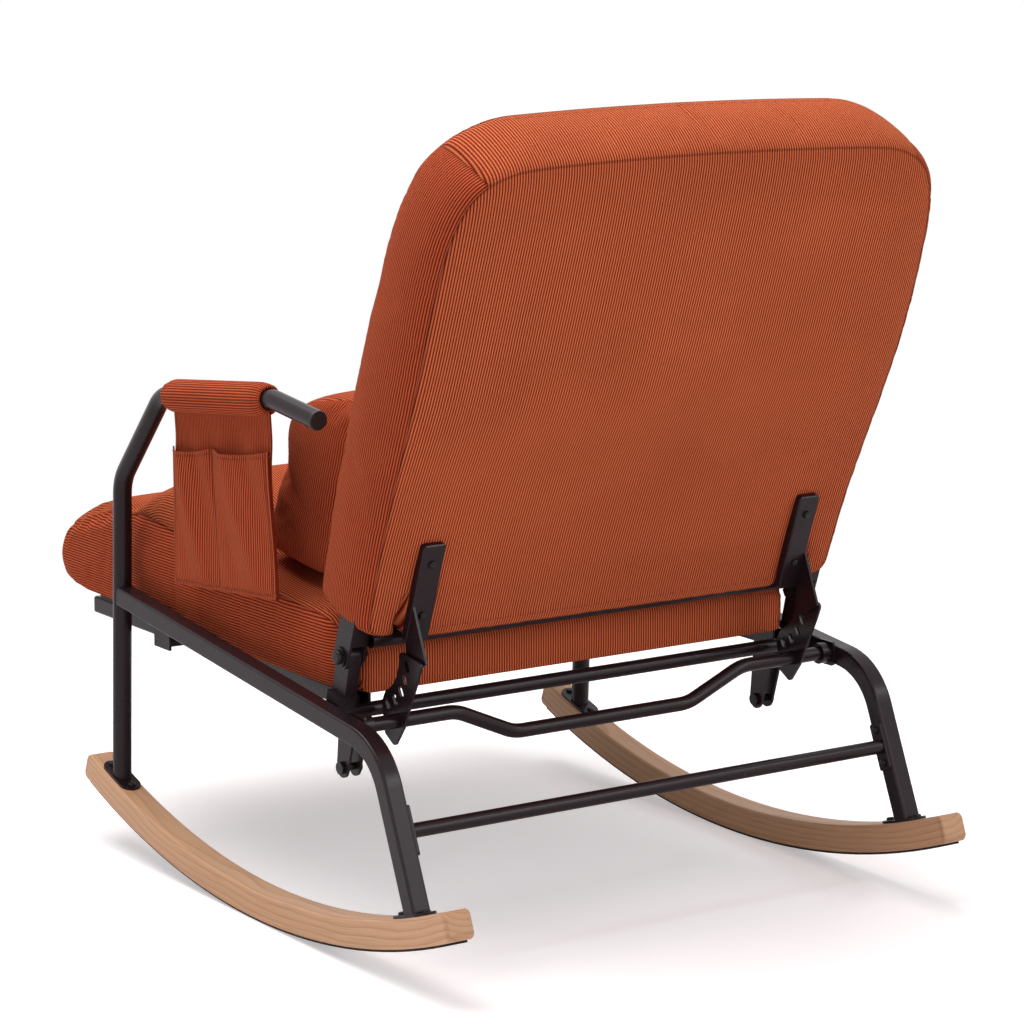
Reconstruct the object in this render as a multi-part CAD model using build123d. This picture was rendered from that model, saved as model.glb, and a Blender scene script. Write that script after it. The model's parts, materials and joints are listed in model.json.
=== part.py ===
from build123d import *
import os
from math import asin, atan2, cos, degrees, hypot, radians, sin, sqrt, tan

# A rocking chair with a reclining back. Millimetres, +Z up, the sitter faces -Y.
# The floor is at z = 0, x = 0 is the middle plane, and y is measured from under the rocking
# centre until the pieces are written.
# Pieces are made for the left side, at +X, and mirrored for the right.

# Rockers and their strips
rocker_gauge = 329.0
rocker_width = 32.0
rocker_height = 32.0
rocker_half_angle = 21.4
rocker_end_corner = 8.0
rocker_edge = 3.0
rocking_radius = 1102.0
strip_thickness = 2.5
strip_width = 26.0
strip_half_angle = 20.7

# Bent round tube of the post and the arm, as places of its bends in the side view
tube_diameter = 22.0
tube_wall = 1.5
post_foot_y = -333.0
post_bend = (-317.6, 447.0)
arm_front_bend = (-216.0, 559.0)
arm_rear_bend = (32.0, 586.5)
arm_end = (123.0, 576.3)
arm_bend_radius = 46.0
cap_length = 14.0
cap_rim = 2.5
cap_clearance = 0.1

# Square tube of the seat rail and the rear leg
rail_size = 22.0
rail_wall = 1.5
rail_corner = 3.0
rail_front_z = 309.5
rail_slope = 6.4
rail_bend_y = 244.0
rail_bend_radius = 75.0
leg_lean = 23.4

# Foot plates and small screws
plate_length = 64.0
plate_width = 26.0
plate_thickness = 3.0
plate_screw_pitch = 49.0
plate_seat_gap = 0.05
screw_shank = 5.0
screw_head = 9.0
screw_head_height = 3.0
screw_depth = 18.0
screw_clearance = 0.1
screw_seat_gap = 0.02

# Crossbars
bar_diameter = 16.0
bar_wall = 1.5
lower_bar_z = 163.0
upper_bar_y = 135.0
end_plate_length = 54.0
end_plate_width = 18.0
end_plate_corner = 3.0
end_plate_screw_pitch = 38.0
end_plate_screw_depth = 8.0

# Back hinge
hinge_y = 143.0
hinge_z = 323.0
back_lean = 19.0
upright_lean = 14.0
upright_width = 26.0
upright_thickness = 15.0
upright_wall = 2.5
upright_rail_gap = 6.0
upright_foot_drop = 66.0
hinge_side_gap = 0.5
channel_wall = 3.0
channel_width = 28.0
channel_length = 92.0
channel_web_start = 18.0
channel_tab_top = 38.0
hinge_bolt_diameter = 10.0
hinge_bolt_clearance = 0.05
hinge_washer_diameter = 22.0
hinge_washer_thickness = 2.0
hinge_head_diameter = 16.0
hinge_head_height = 5.0
hinge_nut_height = 7.0

# Frame inside the back. Heights run up the back from the hinge, depths run forward from it.
back_tube_diameter = 22.0
back_tube_wall = 1.5
back_upright_inset = 68.0
back_frame_top = 535.0
back_frame_bend = 70.0
cross_tube_diameter = 19.0
cross_tube_height = 27.0
rear_panel_depth = -30.0
panel_cloth = 3.0

# Brackets, fins and lock pegs on the back
bracket_width = 28.0
bracket_bottom = 31.0
bracket_top = 149.0
bracket_rise = 10.0
bracket_wall = 2.5
bracket_corner = 4.0
bracket_bevel = 1.2
bracket_screw_heights = (64.0, 126.0)
bracket_screw_depth = 30.0
fin_thickness = 3.0
fin_apex_height = 76.0
fin_rear_height = 30.0
fin_rear_depth = -82.0
peg_diameter = 6.0
peg_radius = 58.0
peg_angle = -5.7
peg_gap = 0.5
fin_nose = 9.0

# Release bar and latch plates
release_y = 180.0
release_z = 254.0
release_drop = 33.0
release_drop_half = 118.0
release_shoulder_half = 193.0
release_bend_radius = 55.0
release_clearance = 0.08
bearing_diameter = 24.0
bearing_length = 12.0
bearing_plate = 28.0
latch_thickness = 3.0
latch_gap = 2.0
latch_slot_count = 5
latch_slot_pitch = 16.0
latch_slot_width = 7.0
latch_slot_length = 14.0
latch_slot_tilt = -60.0
latch_corner = 5.0
latch_tube_gap = 1.6
latch_room_depth = 20.5
latch_room_low = 47.0
latch_room_top = 83.0

# Corners of the latch plate in the side view, from the release bar's axis
latch_corners = (
    (9.0, 77.0),
    (50.3, 71.4),
    (42.4, 53.3),
    (13.6, -5.9),
    (-4.0, -29.2),
    (-23.4, -18.1),
    (-29.3, 15.6),
    (-10.4, 49.6),
)

# Seat frame
bearer_inset = 36.0
bearer_width = 12.0
bearer_height = 20.0
bearer_wall = 1.5
bearer_front_y = -474.0
bearer_rear_y = 118.0
seat_board_thickness = 8.0
seat_board_z = 276.0
front_bar_y = -250.0
hanger_width = 36.0
hanger_thickness = 3.0
lug_thickness = 3.0
lug_bottom_z = 178.0
lug_foot_y = 104.0
lug_foot_radius = 11.0
lug_top_width = 34.0
lug_bolt_diameter = 8.0
lug_head_diameter = 14.0
lug_head_height = 4.0

# Soft pieces
soft_gap = 0.3
sleeve_diameter = 38.0
sleeve_front_margin = 20.0
sleeve_rear_margin = 9.0

# Pocket: places along the arm from its front bend, and drops below the arm
pocket_start = 28.0
pocket_end = 239.0
pocket_mouth_drop = 57.0
pocket_front_drop = 209.0
pocket_rear_drop = 217.0
pocket_flare = 8.0
pocket_offset = 2.0
pocket_cloth = 2.0
pocket_belly = 14.0
pocket_seam = 6.0

# Lumbar pillow: (height, depth) places of its profile, and (share of the half length, size there)
pillow_half_length = 262.0
pillow_rear_low = 40.0
pillow_rear_high = 222.0
pillow_front_low = (4.0, 228.0)
pillow_front_high = (165.0, 240.0)
pillow_bottom_middle = (17.0, 165.0)
pillow_front_middle = (84.0, 251.0)
pillow_top_middle = (219.0, 188.0)
pillow_shares = ((1.0, 0.8), (0.975, 0.92), (0.9, 0.98), (0.6, 1.0))

# Seat cushion, front to rear: (y, inset from the rail, lift of the underside, seam height, crown)
seat_sections = (
    (-532.0, 40.0, 34.0, 54.0, 3.0),
    (-523.0, 28.0, 19.0, 68.0, 4.0),
    (-500.0, 20.0, 12.0, 87.0, 6.0),
    (-460.0, 17.0, 9.0, 104.0, 8.0),
    (-410.0, 18.0, 8.0, 119.0, 9.0),
    (-360.0, 24.0, 3.0, 126.0, 6.0),
    (-330.0, 19.0, 0.0, 125.5, 28.0),
    (-290.0, 16.5, 0.0, 122.0, 50.0),
    (-240.0, 16.0, 0.0, 116.0, 59.0),
    (-170.0, 16.0, 0.0, 106.5, 50.0),
    (-90.0, 16.0, 0.0, 95.5, 20.0),
    (-10.0, 17.0, 0.0, 84.5, 22.0),
    (45.0, 18.0, 0.0, 81.0, 17.0),
    (96.0, 18.0, 0.0, 77.5, 7.0),
    (114.0, 25.0, 0.0, 66.0, 4.0),
    (136.0, 39.0, 0.0, 48.0, 3.0),
)
seat_side_swell = 8.0
seat_shoulder = 34.0
seat_shoulder_share = 0.88
seat_shoulder_swell = 0.2

# Back cushion, hem to top: (height, inset from the rocker's middle, depths of the rear and the
# front from the rear panel's foot, crown, side swell)
back_sections = (
    (39.0, 22.0, 0.0, 82.0, 8.0, 6.0),
    (58.0, 21.5, 0.0, 94.0, 18.0, 11.0),
    (125.0, 19.5, 0.0, 99.0, 27.0, 13.0),
    (188.0, 17.0, 0.0, 96.0, 22.0, 12.0),
    (215.0, 16.0, -2.0, 89.0, 14.0, 9.0),
    (242.0, 15.0, -6.0, 93.0, 22.0, 12.0),
    (315.0, 12.5, -16.0, 89.0, 27.0, 13.0),
    (388.0, 11.0, -20.5, 82.0, 22.0, 12.0),
    (415.0, 11.5, -21.0, 75.0, 14.0, 9.0),
    (442.0, 12.5, -21.0, 80.0, 22.0, 12.0),
    (500.0, 17.5, -21.0, 80.0, 24.0, 14.0),
    (543.0, 31.0, -21.0, 79.0, 18.0, 15.0),
    (566.0, 50.0, -21.0, 80.0, 12.0, 14.0),
    (582.0, 73.0, -18.0, 82.0, 8.0, 12.0),
    (591.0, 90.0, 8.0, 84.0, 6.0, 8.0),
    (598.0, 112.0, 34.0, 86.0, 4.0, 5.0),
    (602.0, 140.0, 52.0, 82.0, 2.0, 3.0),
)

# Worked out from the sizes above
reach = 2000.0
wood_radius = rocking_radius - strip_thickness
rocker_top_radius = wood_radius - rocker_height
plate_top_radius = rocker_top_radius - plate_thickness
rail_inner_x = rocker_gauge - rail_size / 2
upright_inner_x = rail_inner_x - upright_rail_gap - upright_thickness
back_upright_x = rail_inner_x - back_upright_inset
bearer_x = rail_inner_x - bearer_inset
seat_board_half_width = bearer_x + bearer_width / 2
seat_bottom_z = seat_board_z + soft_gap
bearer_z = seat_board_z - bearer_height / 2
fin_outer_x = back_upright_x + bracket_width / 2
fin_inner_x = fin_outer_x - fin_thickness
latch_inner_x = fin_outer_x + latch_gap
latch_outer_x = latch_inner_x + latch_thickness
bracket_web_depth = rear_panel_depth - soft_gap - bracket_rise
channel_outer_x = upright_inner_x + upright_thickness + hinge_side_gap
channel_inner_x = upright_inner_x - hinge_side_gap
back_tube_depth = rear_panel_depth + panel_cloth + back_tube_diameter / 2
across = (1, 0, 0)


def rail_height(y):
    """Height of the rail's centre line above the floor at y."""
    return rail_front_z - tan(radians(rail_slope)) * (y - post_bend[0])


def leg_line(z):
    """Rearward place of the leg's centre line at height z."""
    drop = rail_height(rail_bend_y) - z
    return rail_bend_y + tan(radians(leg_lean)) * drop


def on_rocker(y, radius):
    """Point in the side view on a circle about the rocking centre."""
    return (y, rocking_radius - sqrt(radius ** 2 - y ** 2))


def back_point(height, depth):
    """Point in the side view at a height up the back and a depth in front of the hinge."""
    lean = radians(back_lean)
    return (
        hinge_y + height * sin(lean) - depth * cos(lean),
        hinge_z + height * cos(lean) + depth * sin(lean),
    )


def about_hinge(radius, angle):
    """Point in the side view at a radius and an angle about the hinge."""
    return (hinge_y + radius * cos(radians(angle)), hinge_z + radius * sin(radians(angle)))


back_plane = Plane(
    origin=(0, hinge_y, hinge_z),
    x_dir=across,
    z_dir=(0, -cos(radians(back_lean)), sin(radians(back_lean))),
)


def slab(outline, x_low, x_high):
    """Solid of a side-view outline between two planes across the chair."""
    return extrude(Plane.YZ.offset(x_low) * outline, x_high - x_low, dir=across)


def rod(y, z, x_low, x_high, diameter):
    """Round rod across the chair."""
    return slab(Pos(y, z) * Circle(diameter / 2), x_low, x_high)


def pipe(y, z, x_low, x_high, diameter, wall):
    """Round tube across the chair."""
    return slab(Pos(y, z) * (Circle(diameter / 2) - Circle(diameter / 2 - wall)), x_low, x_high)


def swept(path, section, section_x):
    """Solid of a section carried along a path."""
    start = Plane(origin=path @ 0, x_dir=section_x, z_dir=path % 0)
    return sweep(start * section, path=path)


def side_path(points, radii, x):
    """Path in a plane across x, through side-view points with rounded corners."""
    return FilletPolyline(*[(x, y, z) for y, z in points], radius=radii)


def ring_sector(inner, outer, mid_angle, half_angle, x_low, x_high):
    """Part of a ring about the rocking centre, angles from straight down to the rear."""
    centre = (0, rocking_radius)
    start = 270 + mid_angle - half_angle
    low = CenterArc(centre, outer, start, 2 * half_angle)
    high = CenterArc(centre, inner, start, 2 * half_angle)
    outline = make_face([low, Line(low @ 1, high @ 1), high, Line(high @ 0, low @ 0)])
    return slab(outline, x_low, x_high)


def screw(shank, head, head_height, depth):
    """Button-head screw along Z, with its head's seat at z = 0."""
    dome = fillet(Cylinder(head / 2, head_height, align=(Align.CENTER, Align.CENTER, Align.MIN))
                  .faces().sort_by(Axis.Z)[-1].edges(), head_height * 0.6)
    stem = Cylinder(shank / 2, depth, align=(Align.CENTER, Align.CENTER, Align.MAX))
    return dome + stem


def screw_hole(shank, depth):
    """Room for a screw's shank below z = 0."""
    return Cylinder(shank / 2 + screw_clearance, depth,
                    align=(Align.CENTER, Align.CENTER, Align.MAX))


def both_sides(left):
    """A left piece and its mirror image."""
    return left, mirror(left, about=Plane.YZ)


# Rockers
rocker_low_x = rocker_gauge - rocker_width / 2
rocker_high_x = rocker_gauge + rocker_width / 2
rocker = ring_sector(rocker_top_radius, wood_radius, 0, rocker_half_angle,
                     rocker_low_x, rocker_high_x)
end_edges = rocker.edges().filter_by(Axis.X)
rocker = fillet(end_edges, rocker_end_corner)
rocker = fillet(rocker.edges(), rocker_edge)
strip = ring_sector(wood_radius, rocking_radius, 0, strip_half_angle,
                    rocker_gauge - strip_width / 2, rocker_gauge + strip_width / 2)

# Posts and arms
post_top_lean = (post_bend[0] - post_foot_y) / (post_bend[1] - on_rocker(post_foot_y,
                                                                       plate_top_radius)[1])
post_overlap = 20.0
post_start_z = on_rocker(post_foot_y, rocker_top_radius)[1] - post_overlap
post_start_y = post_bend[0] - post_top_lean * (post_bend[1] - post_start_z)
arm_path = side_path(
    [(post_start_y, post_start_z), post_bend, arm_front_bend, arm_rear_bend, arm_end],
    arm_bend_radius, rocker_gauge)
post_angle = degrees(asin(post_foot_y / plate_top_radius))
foot_y = leg_line(on_rocker(leg_line(0), plate_top_radius)[1])
leg_angle = degrees(asin(foot_y / plate_top_radius))


def under_plate(angle):
    """Space under a foot plate's upper face."""
    return ring_sector(plate_top_radius, plate_top_radius + reach / 10, angle, 6,
                       rocker_low_x - rocker_width, rocker_high_x + rocker_width)


arm_outer = swept(arm_path, Circle(tube_diameter / 2), across) - under_plate(post_angle)
arm_bore = swept(arm_path, Circle(tube_diameter / 2 - tube_wall), across)
arm_post = arm_outer - arm_bore

# Arm end caps: a domed rim with a spigot in the tube
cap_plane = Plane(origin=arm_path @ 1, x_dir=across, z_dir=arm_path % 1)
cap_rim_solid = Cylinder(tube_diameter / 2, cap_rim,
                         align=(Align.CENTER, Align.CENTER, Align.MIN))
cap_rim_solid = fillet(cap_rim_solid.faces().sort_by(Axis.Z)[-1].edges(), cap_rim * 0.7)
cap_spigot = Cylinder(tube_diameter / 2 - tube_wall - cap_clearance, cap_length,
                      align=(Align.CENTER, Align.CENTER, Align.MAX))
arm_cap = cap_plane * (cap_rim_solid + cap_spigot)

# Seat rails and rear legs
rail_section = RectangleRounded(rail_size, rail_size, rail_corner)
rail_inside = RectangleRounded(rail_size - 2 * rail_wall, rail_size - 2 * rail_wall,
                               rail_corner - rail_wall)
rail_path = side_path(
    [(post_bend[0], rail_front_z), (rail_bend_y, rail_height(rail_bend_y)), (leg_line(0), 0)],
    rail_bend_radius, rocker_gauge)
side_rail = swept(rail_path, rail_section, across) - swept(rail_path, rail_inside, across)
side_rail = side_rail - arm_outer - under_plate(leg_angle)


# Foot plates with their screws
def foot_plate(angle):
    """Oval plate on the rocker's back, its two screws and the holes they need."""
    frame = Plane(
        origin=(rocker_gauge, rocker_top_radius * sin(radians(angle)),
                rocking_radius - rocker_top_radius * cos(radians(angle))),
        x_dir=(0, cos(radians(angle)), sin(radians(angle))),
        z_dir=(0, -sin(radians(angle)), cos(radians(angle))))
    prism = extrude(frame * SlotOverall(plate_length, plate_width), plate_width, both=True)
    plate = prism & ring_sector(plate_top_radius, rocker_top_radius - plate_seat_gap, angle, 6,
                                rocker_low_x, rocker_high_x)
    step = degrees(plate_screw_pitch / 2 / plate_top_radius)
    seat_radius = plate_top_radius - screw_seat_gap
    seats = []
    for screw_angle in (angle - step, angle + step):
        seats.append(Plane(
            origin=(rocker_gauge, seat_radius * sin(radians(screw_angle)),
                    rocking_radius - seat_radius * cos(radians(screw_angle))),
            x_dir=across, z_dir=(0, -sin(radians(screw_angle)), cos(radians(screw_angle)))))
    screws = [seat * screw(screw_shank, screw_head, screw_head_height, screw_depth)
              for seat in seats]
    holes = [seat * screw_hole(screw_shank, screw_depth + screw_clearance) for seat in seats]
    return plate - holes, screws, holes


front_plate, front_screws, front_holes = foot_plate(post_angle)
rear_plate, rear_screws, rear_holes = foot_plate(leg_angle)
rocker = rocker - front_holes - rear_holes

# Lower crossbar, with a plate screwed to the inside of each leg
lower_bar_y = leg_line(lower_bar_z)
leg_plane = Plane(origin=(rail_inner_x, lower_bar_y, lower_bar_z),
                  x_dir=(0, -sin(radians(leg_lean)), cos(radians(leg_lean))), z_dir=(-1, 0, 0))
end_plate = extrude(leg_plane * RectangleRounded(end_plate_length, end_plate_width, end_plate_corner),
                    plate_thickness)
end_seats = [leg_plane * Pos(side * end_plate_screw_pitch / 2, 0, plate_thickness)
             for side in (-1, 1)]
end_screws = [seat * screw(screw_shank, screw_head, screw_head_height, end_plate_screw_depth)
              for seat in end_seats]
end_holes = [seat * screw_hole(screw_shank, end_plate_screw_depth + screw_clearance)
             for seat in end_seats]
end_plate = end_plate - end_holes
side_rail = side_rail - end_holes
lower_bar_half = rail_inner_x - plate_thickness
lower_crossbar = pipe(lower_bar_y, lower_bar_z, -lower_bar_half, lower_bar_half,
                      bar_diameter, bar_wall)

# Upper crossbar, welded between the rails
upper_bar_z = rail_height(upper_bar_y)
upper_crossbar = pipe(upper_bar_y, upper_bar_z, -rail_inner_x, rail_inner_x,
                      bar_diameter, bar_wall)
upper_rod = rod(upper_bar_y, upper_bar_z, -reach, reach, bar_diameter)


# Hinge uprights: folded channels, open to the front, that stand inside the rails on a wide foot
def upright_outline(width, drop):
    """Strip that hangs from the hinge, round at the top, as a side-view face."""
    strip_face = Pos(0, -drop / 2) * Rectangle(width, drop) + Circle(width / 2)
    return Pos(hinge_y, hinge_z) * Rot(0, 0, -upright_lean) * strip_face


upright_outer_x = upright_inner_x + upright_thickness
upright = slab(upright_outline(upright_width, upright_foot_drop), upright_inner_x, upright_outer_x)
upright_hollow = slab(
    Pos(hinge_y, hinge_z) * Rot(0, 0, -upright_lean)
    * Pos(-upright_wall, -upright_foot_drop / 2) * Rectangle(upright_width, upright_foot_drop),
    upright_inner_x + upright_wall, upright_outer_x - upright_wall)
foot_outline = Pos(hinge_y, hinge_z) * Rot(0, 0, -upright_lean) * Pos(
    0, -upright_foot_drop + rail_size / 2) * Rectangle(upright_width, rail_size)
upright_foot = slab(foot_outline, upright_outer_x, rail_inner_x)
hinge_bore = rod(hinge_y, hinge_z, 0, reach, hinge_bolt_diameter)
upright = upright - upright_hollow + upright_foot - hinge_bore - upper_rod

# Hinge bolts, fixed in the uprights, with washer and nut
channel_outer_face = channel_outer_x + channel_wall
channel_inner_face = channel_inner_x - channel_wall
washer_face = channel_outer_face + hinge_side_gap / 2
head_face = washer_face + hinge_washer_thickness
nut_face = channel_inner_face - hinge_side_gap / 2
bolt_head = rod(hinge_y, hinge_z, head_face, head_face + hinge_head_height, hinge_head_diameter)
bolt_head = fillet(bolt_head.faces().sort_by(Axis.X)[-1].edges(), hinge_head_height * 0.6)
bolt_nut = slab(Pos(hinge_y, hinge_z) * RegularPolygon(hinge_head_diameter / 2, 6),
                nut_face - hinge_nut_height, nut_face)
hinge_bolt = (rod(hinge_y, hinge_z, nut_face, head_face, hinge_bolt_diameter)
              + rod(hinge_y, hinge_z, washer_face, head_face, hinge_washer_diameter)
              + bolt_head + bolt_nut)

# Hinge channels on the back: two cheeks astride the upright and a rear web above it
channel_half = channel_width / 2


def channel_cheek(rear_depth, x_low, x_high):
    """Cheek with a round end at the hinge, reaching back to a given depth."""
    tongue = Circle(channel_half) + Pos(0, channel_length / 2) * Rectangle(
        channel_width, channel_length)
    rear_tab = Pos((channel_half - rear_depth) / 2 - channel_half,
                   (channel_tab_top + channel_web_start) / 2) * Rectangle(
        channel_half - rear_depth, channel_tab_top - channel_web_start)
    outline = Rot(0, 0, -back_lean) * mirror(tongue + rear_tab, about=Plane.YZ)
    return slab(Pos(hinge_y, hinge_z) * outline, x_low, x_high)


tab_depth = back_tube_depth - cross_tube_diameter / 2 - channel_wall
web_low = back_plane * Pos(0, (channel_web_start + channel_length) / 2,
                           -channel_half + channel_wall / 2)
channel_web = web_low * Pos((channel_inner_face + channel_outer_face) / 2, 0, 0) * Box(
    channel_outer_face - channel_inner_face, channel_length - channel_web_start, channel_wall)
hinge_channel = (channel_cheek(-channel_half, channel_outer_x, channel_outer_face)
                 + channel_cheek(tab_depth, channel_inner_face, channel_inner_x)
                 + channel_web)
hinge_channel = hinge_channel - rod(hinge_y, hinge_z, 0, reach,
                                    hinge_bolt_diameter + 2 * hinge_bolt_clearance)

# Tube frame inside the back
cross_tube_y, cross_tube_z = back_point(cross_tube_height, back_tube_depth)
back_cross_tube = pipe(cross_tube_y, cross_tube_z, -channel_inner_face, channel_inner_face,
                       cross_tube_diameter, back_tube_wall)


def frame_bow(diameter):
    """The inverted U of the back frame, standing on the cross tube."""
    corners = [(-back_upright_x, cross_tube_height), (-back_upright_x, back_frame_top),
               (back_upright_x, back_frame_top), (back_upright_x, cross_tube_height)]
    path = FilletPolyline(*[back_plane.from_local_coords(Vector(x, height, back_tube_depth))
                            for x, height in corners], radius=back_frame_bend)
    return swept(path, Circle(diameter / 2), across)


cross_rod = rod(cross_tube_y, cross_tube_z, -reach, reach, cross_tube_diameter)
back_frame = frame_bow(back_tube_diameter) - frame_bow(back_tube_diameter - 2 * back_tube_wall)
back_frame = back_frame - cross_rod

# Brackets on the back: pressed trays with a bevelled edge
bracket_mid = (bracket_bottom + bracket_top) / 2
bracket_height = bracket_top - bracket_bottom
bracket_seat = back_plane * Pos(back_upright_x, bracket_mid, bracket_web_depth)
bracket_face = RectangleRounded(bracket_width, bracket_height, bracket_corner)
bracket_hollow = Rectangle(bracket_width - 2 * bracket_wall, bracket_height - 2 * bracket_wall)
bracket_tray = extrude(bracket_face, bracket_rise)
bracket_tray = chamfer(bracket_tray.faces().sort_by(Axis.Z)[0].edges(), bracket_bevel)
bracket_tray = bracket_tray - extrude(Pos(0, 0, bracket_wall) * bracket_hollow, bracket_rise)
back_bracket = bracket_seat * bracket_tray
bracket_seats = [back_plane * Pos(back_upright_x, height, bracket_web_depth) * Rot(0, 180, 0)
                 for height in bracket_screw_heights]
bracket_screws = [seat * screw(screw_shank, screw_head, screw_head_height, bracket_screw_depth)
                  for seat in bracket_seats]
bracket_holes = [seat * screw_hole(screw_shank, bracket_screw_depth + screw_clearance)
                 for seat in bracket_seats]
back_bracket = back_bracket - bracket_holes
back_frame = back_frame - bracket_holes - [mirror(hole, about=Plane.YZ) for hole in bracket_holes]

# Fins on the brackets, each with a lock peg that points at the latch plate
peg_y, peg_z = about_hinge(peg_radius, peg_angle)
fin_outline = make_hull(
    Polyline(back_point(fin_apex_height, bracket_web_depth),
             back_point(fin_rear_height, fin_rear_depth),
             back_point(bracket_bottom, bracket_web_depth), close=True).edges()
    + (Pos(peg_y, peg_z) * Circle(fin_nose)).edges())
lock_peg = rod(peg_y, peg_z, fin_outer_x, latch_inner_x - peg_gap, peg_diameter)
back_fin = slab(fin_outline, fin_inner_x, fin_outer_x) + lock_peg

# Release bar with its dropped centre
bearing_face = rail_inner_x - plate_thickness
release_end_x = bearing_face - release_clearance
release_points = [(release_end_x, 0), (release_shoulder_half, 0),
                  (release_drop_half, -release_drop), (-release_drop_half, -release_drop),
                  (-release_shoulder_half, 0), (-release_end_x, 0)]
release_path = FilletPolyline(
    *[(x, release_y, release_z + drop) for x, drop in release_points], radius=release_bend_radius)
release_rod = swept(release_path, Circle(bar_diameter / 2), (0, 1, 0))
release_bar = release_rod - swept(release_path, Circle(bar_diameter / 2 - bar_wall), (0, 1, 0))

# Bearing brackets for the release bar, on the inner faces of the rails
bearing_flange = slab(Pos(release_y, release_z) * RectangleRounded(bearing_plate, bearing_plate,
                                                                  bracket_corner),
                      bearing_face, rail_inner_x)
bearing_boss = pipe(release_y, release_z, bearing_face - bearing_length, bearing_face,
                    bearing_diameter, (bearing_diameter - bar_diameter) / 2 - release_clearance)
release_bearing = bearing_flange + bearing_boss

# Latch plates on the release bar, slotted about the hinge and hollowed to pass the cross tube
latch_outline = fillet(make_face(Polyline(*latch_corners, close=True)).vertices(), latch_corner)
latch_outline = Pos(release_y, release_z) * latch_outline
tube_sweep = hypot(cross_tube_height, back_tube_depth) + cross_tube_diameter / 2 + latch_tube_gap
latch_outline = latch_outline - Pos(hinge_y, hinge_z) * Circle(tube_sweep)
latch_plate = slab(latch_outline, latch_inner_x, latch_outer_x)
for index in range(latch_slot_count):
    slot_y, slot_z = about_hinge(peg_radius, peg_angle - index * latch_slot_pitch)
    slot_face = Pos(slot_y, slot_z) * Rot(0, 0, latch_slot_tilt) * SlotOverall(
        latch_slot_length, latch_slot_width)
    latch_plate = latch_plate - slab(slot_face, latch_inner_x, latch_outer_x)
latch_plate = latch_plate - release_rod

# Seat frame: bearers, front bar and hangers from the rails
bearer_section = RectangleRounded(bearer_width, bearer_height, rail_corner)
bearer_inside = RectangleRounded(bearer_width - 2 * bearer_wall, bearer_height - 2 * bearer_wall,
                                 rail_corner - bearer_wall)
bearer_plane = Plane(origin=(bearer_x, bearer_front_y, bearer_z), x_dir=across, z_dir=(0, 1, 0))
front_rod = rod(front_bar_y, bearer_z, -reach, reach, bar_diameter)
seat_bearer = extrude(bearer_plane * (bearer_section - bearer_inside),
                      bearer_rear_y - bearer_front_y) - front_rod
front_bar_half = rail_inner_x - hanger_thickness
front_crossbar = pipe(front_bar_y, bearer_z, -front_bar_half, front_bar_half,
                      bar_diameter, bar_wall)
hanger_bottom = bearer_z - bar_diameter / 2
hanger_top = rail_height(front_bar_y) + rail_size / 2 - rail_corner
seat_hanger = slab(Pos(front_bar_y, (hanger_bottom + hanger_top) / 2)
                   * Rectangle(hanger_width, hanger_top - hanger_bottom),
                   front_bar_half, rail_inner_x)
seat_board = Pos(0, (bearer_front_y + bearer_rear_y) / 2, seat_board_z) * extrude(
    RectangleRounded(2 * seat_board_half_width, bearer_rear_y - bearer_front_y, rail_size),
    seat_board_thickness)

# Lug pairs beside the bearers' rear ends, welded to the upper crossbar and bolted at the foot
lug_rear_y = upper_bar_y
lug_outline = make_hull(
    (Pos(lug_rear_y - lug_top_width / 2, seat_board_z - bearer_height / 2)
     * Rectangle(lug_top_width, bearer_height)).edges()
    + (Pos(lug_foot_y, lug_bottom_z + lug_foot_radius) * Circle(lug_foot_radius)).edges())
lug_bolt_z = lug_bottom_z + lug_foot_radius
lug_bore = rod(lug_foot_y, lug_bolt_z, -reach, reach, lug_bolt_diameter)
lug_spans = [(bearer_x - bearer_width / 2 - lug_thickness, bearer_x - bearer_width / 2),
             (bearer_x + bearer_width / 2, bearer_x + bearer_width / 2 + lug_thickness)]
seat_lugs = [slab(lug_outline, low, high) - upper_rod - lug_bore for low, high in lug_spans]
lug_low_x = lug_spans[0][0]
lug_high_x = lug_spans[1][1]
lug_bolt = rod(lug_foot_y, lug_bolt_z, lug_low_x, lug_high_x, lug_bolt_diameter)
for x_low, x_high in ((lug_low_x - lug_head_height, lug_low_x),
                      (lug_high_x, lug_high_x + lug_head_height)):
    lug_bolt = lug_bolt + rod(lug_foot_y, lug_bolt_z, x_low, x_high, lug_head_diameter)


# Cushions, each a loft through sections of a flat side, two swelled sides and a crowned side
def cushion_section(half_width, low, high, side_swell, crown):
    """Closed section: a line below, an arc at each side and an arc on top."""
    middle = (low + high) / 2
    return make_face([
        Line((-half_width, low), (half_width, low)),
        ThreePointArc((half_width, low), (half_width + side_swell, middle), (half_width, high)),
        ThreePointArc((half_width, high), (0, high + crown), (-half_width, high)),
        ThreePointArc((-half_width, high), (-half_width - side_swell, middle), (-half_width, low)),
    ])


def pillow_top_section(half_width, low, seam, side_swell, crown):
    """Closed section: a line below, swelled sides up to a seam and a full top above it."""
    middle = (low + seam) / 2
    shoulder_x = half_width - seat_shoulder
    shoulder_z = seam + crown * seat_shoulder_share
    bulge_x = (half_width + shoulder_x) / 2 + crown * seat_shoulder_swell
    bulge_z = (seam + shoulder_z) / 2 + crown * seat_shoulder_swell
    return make_face([
        Line((-half_width, low), (half_width, low)),
        ThreePointArc((half_width, low), (half_width + side_swell, middle), (half_width, seam)),
        ThreePointArc((half_width, seam), (bulge_x, bulge_z), (shoulder_x, shoulder_z)),
        ThreePointArc((shoulder_x, shoulder_z), (0, seam + crown), (-shoulder_x, shoulder_z)),
        ThreePointArc((-shoulder_x, shoulder_z), (-bulge_x, bulge_z), (-half_width, seam)),
        ThreePointArc((-half_width, seam), (-half_width - side_swell, middle), (-half_width, low)),
    ])


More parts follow.
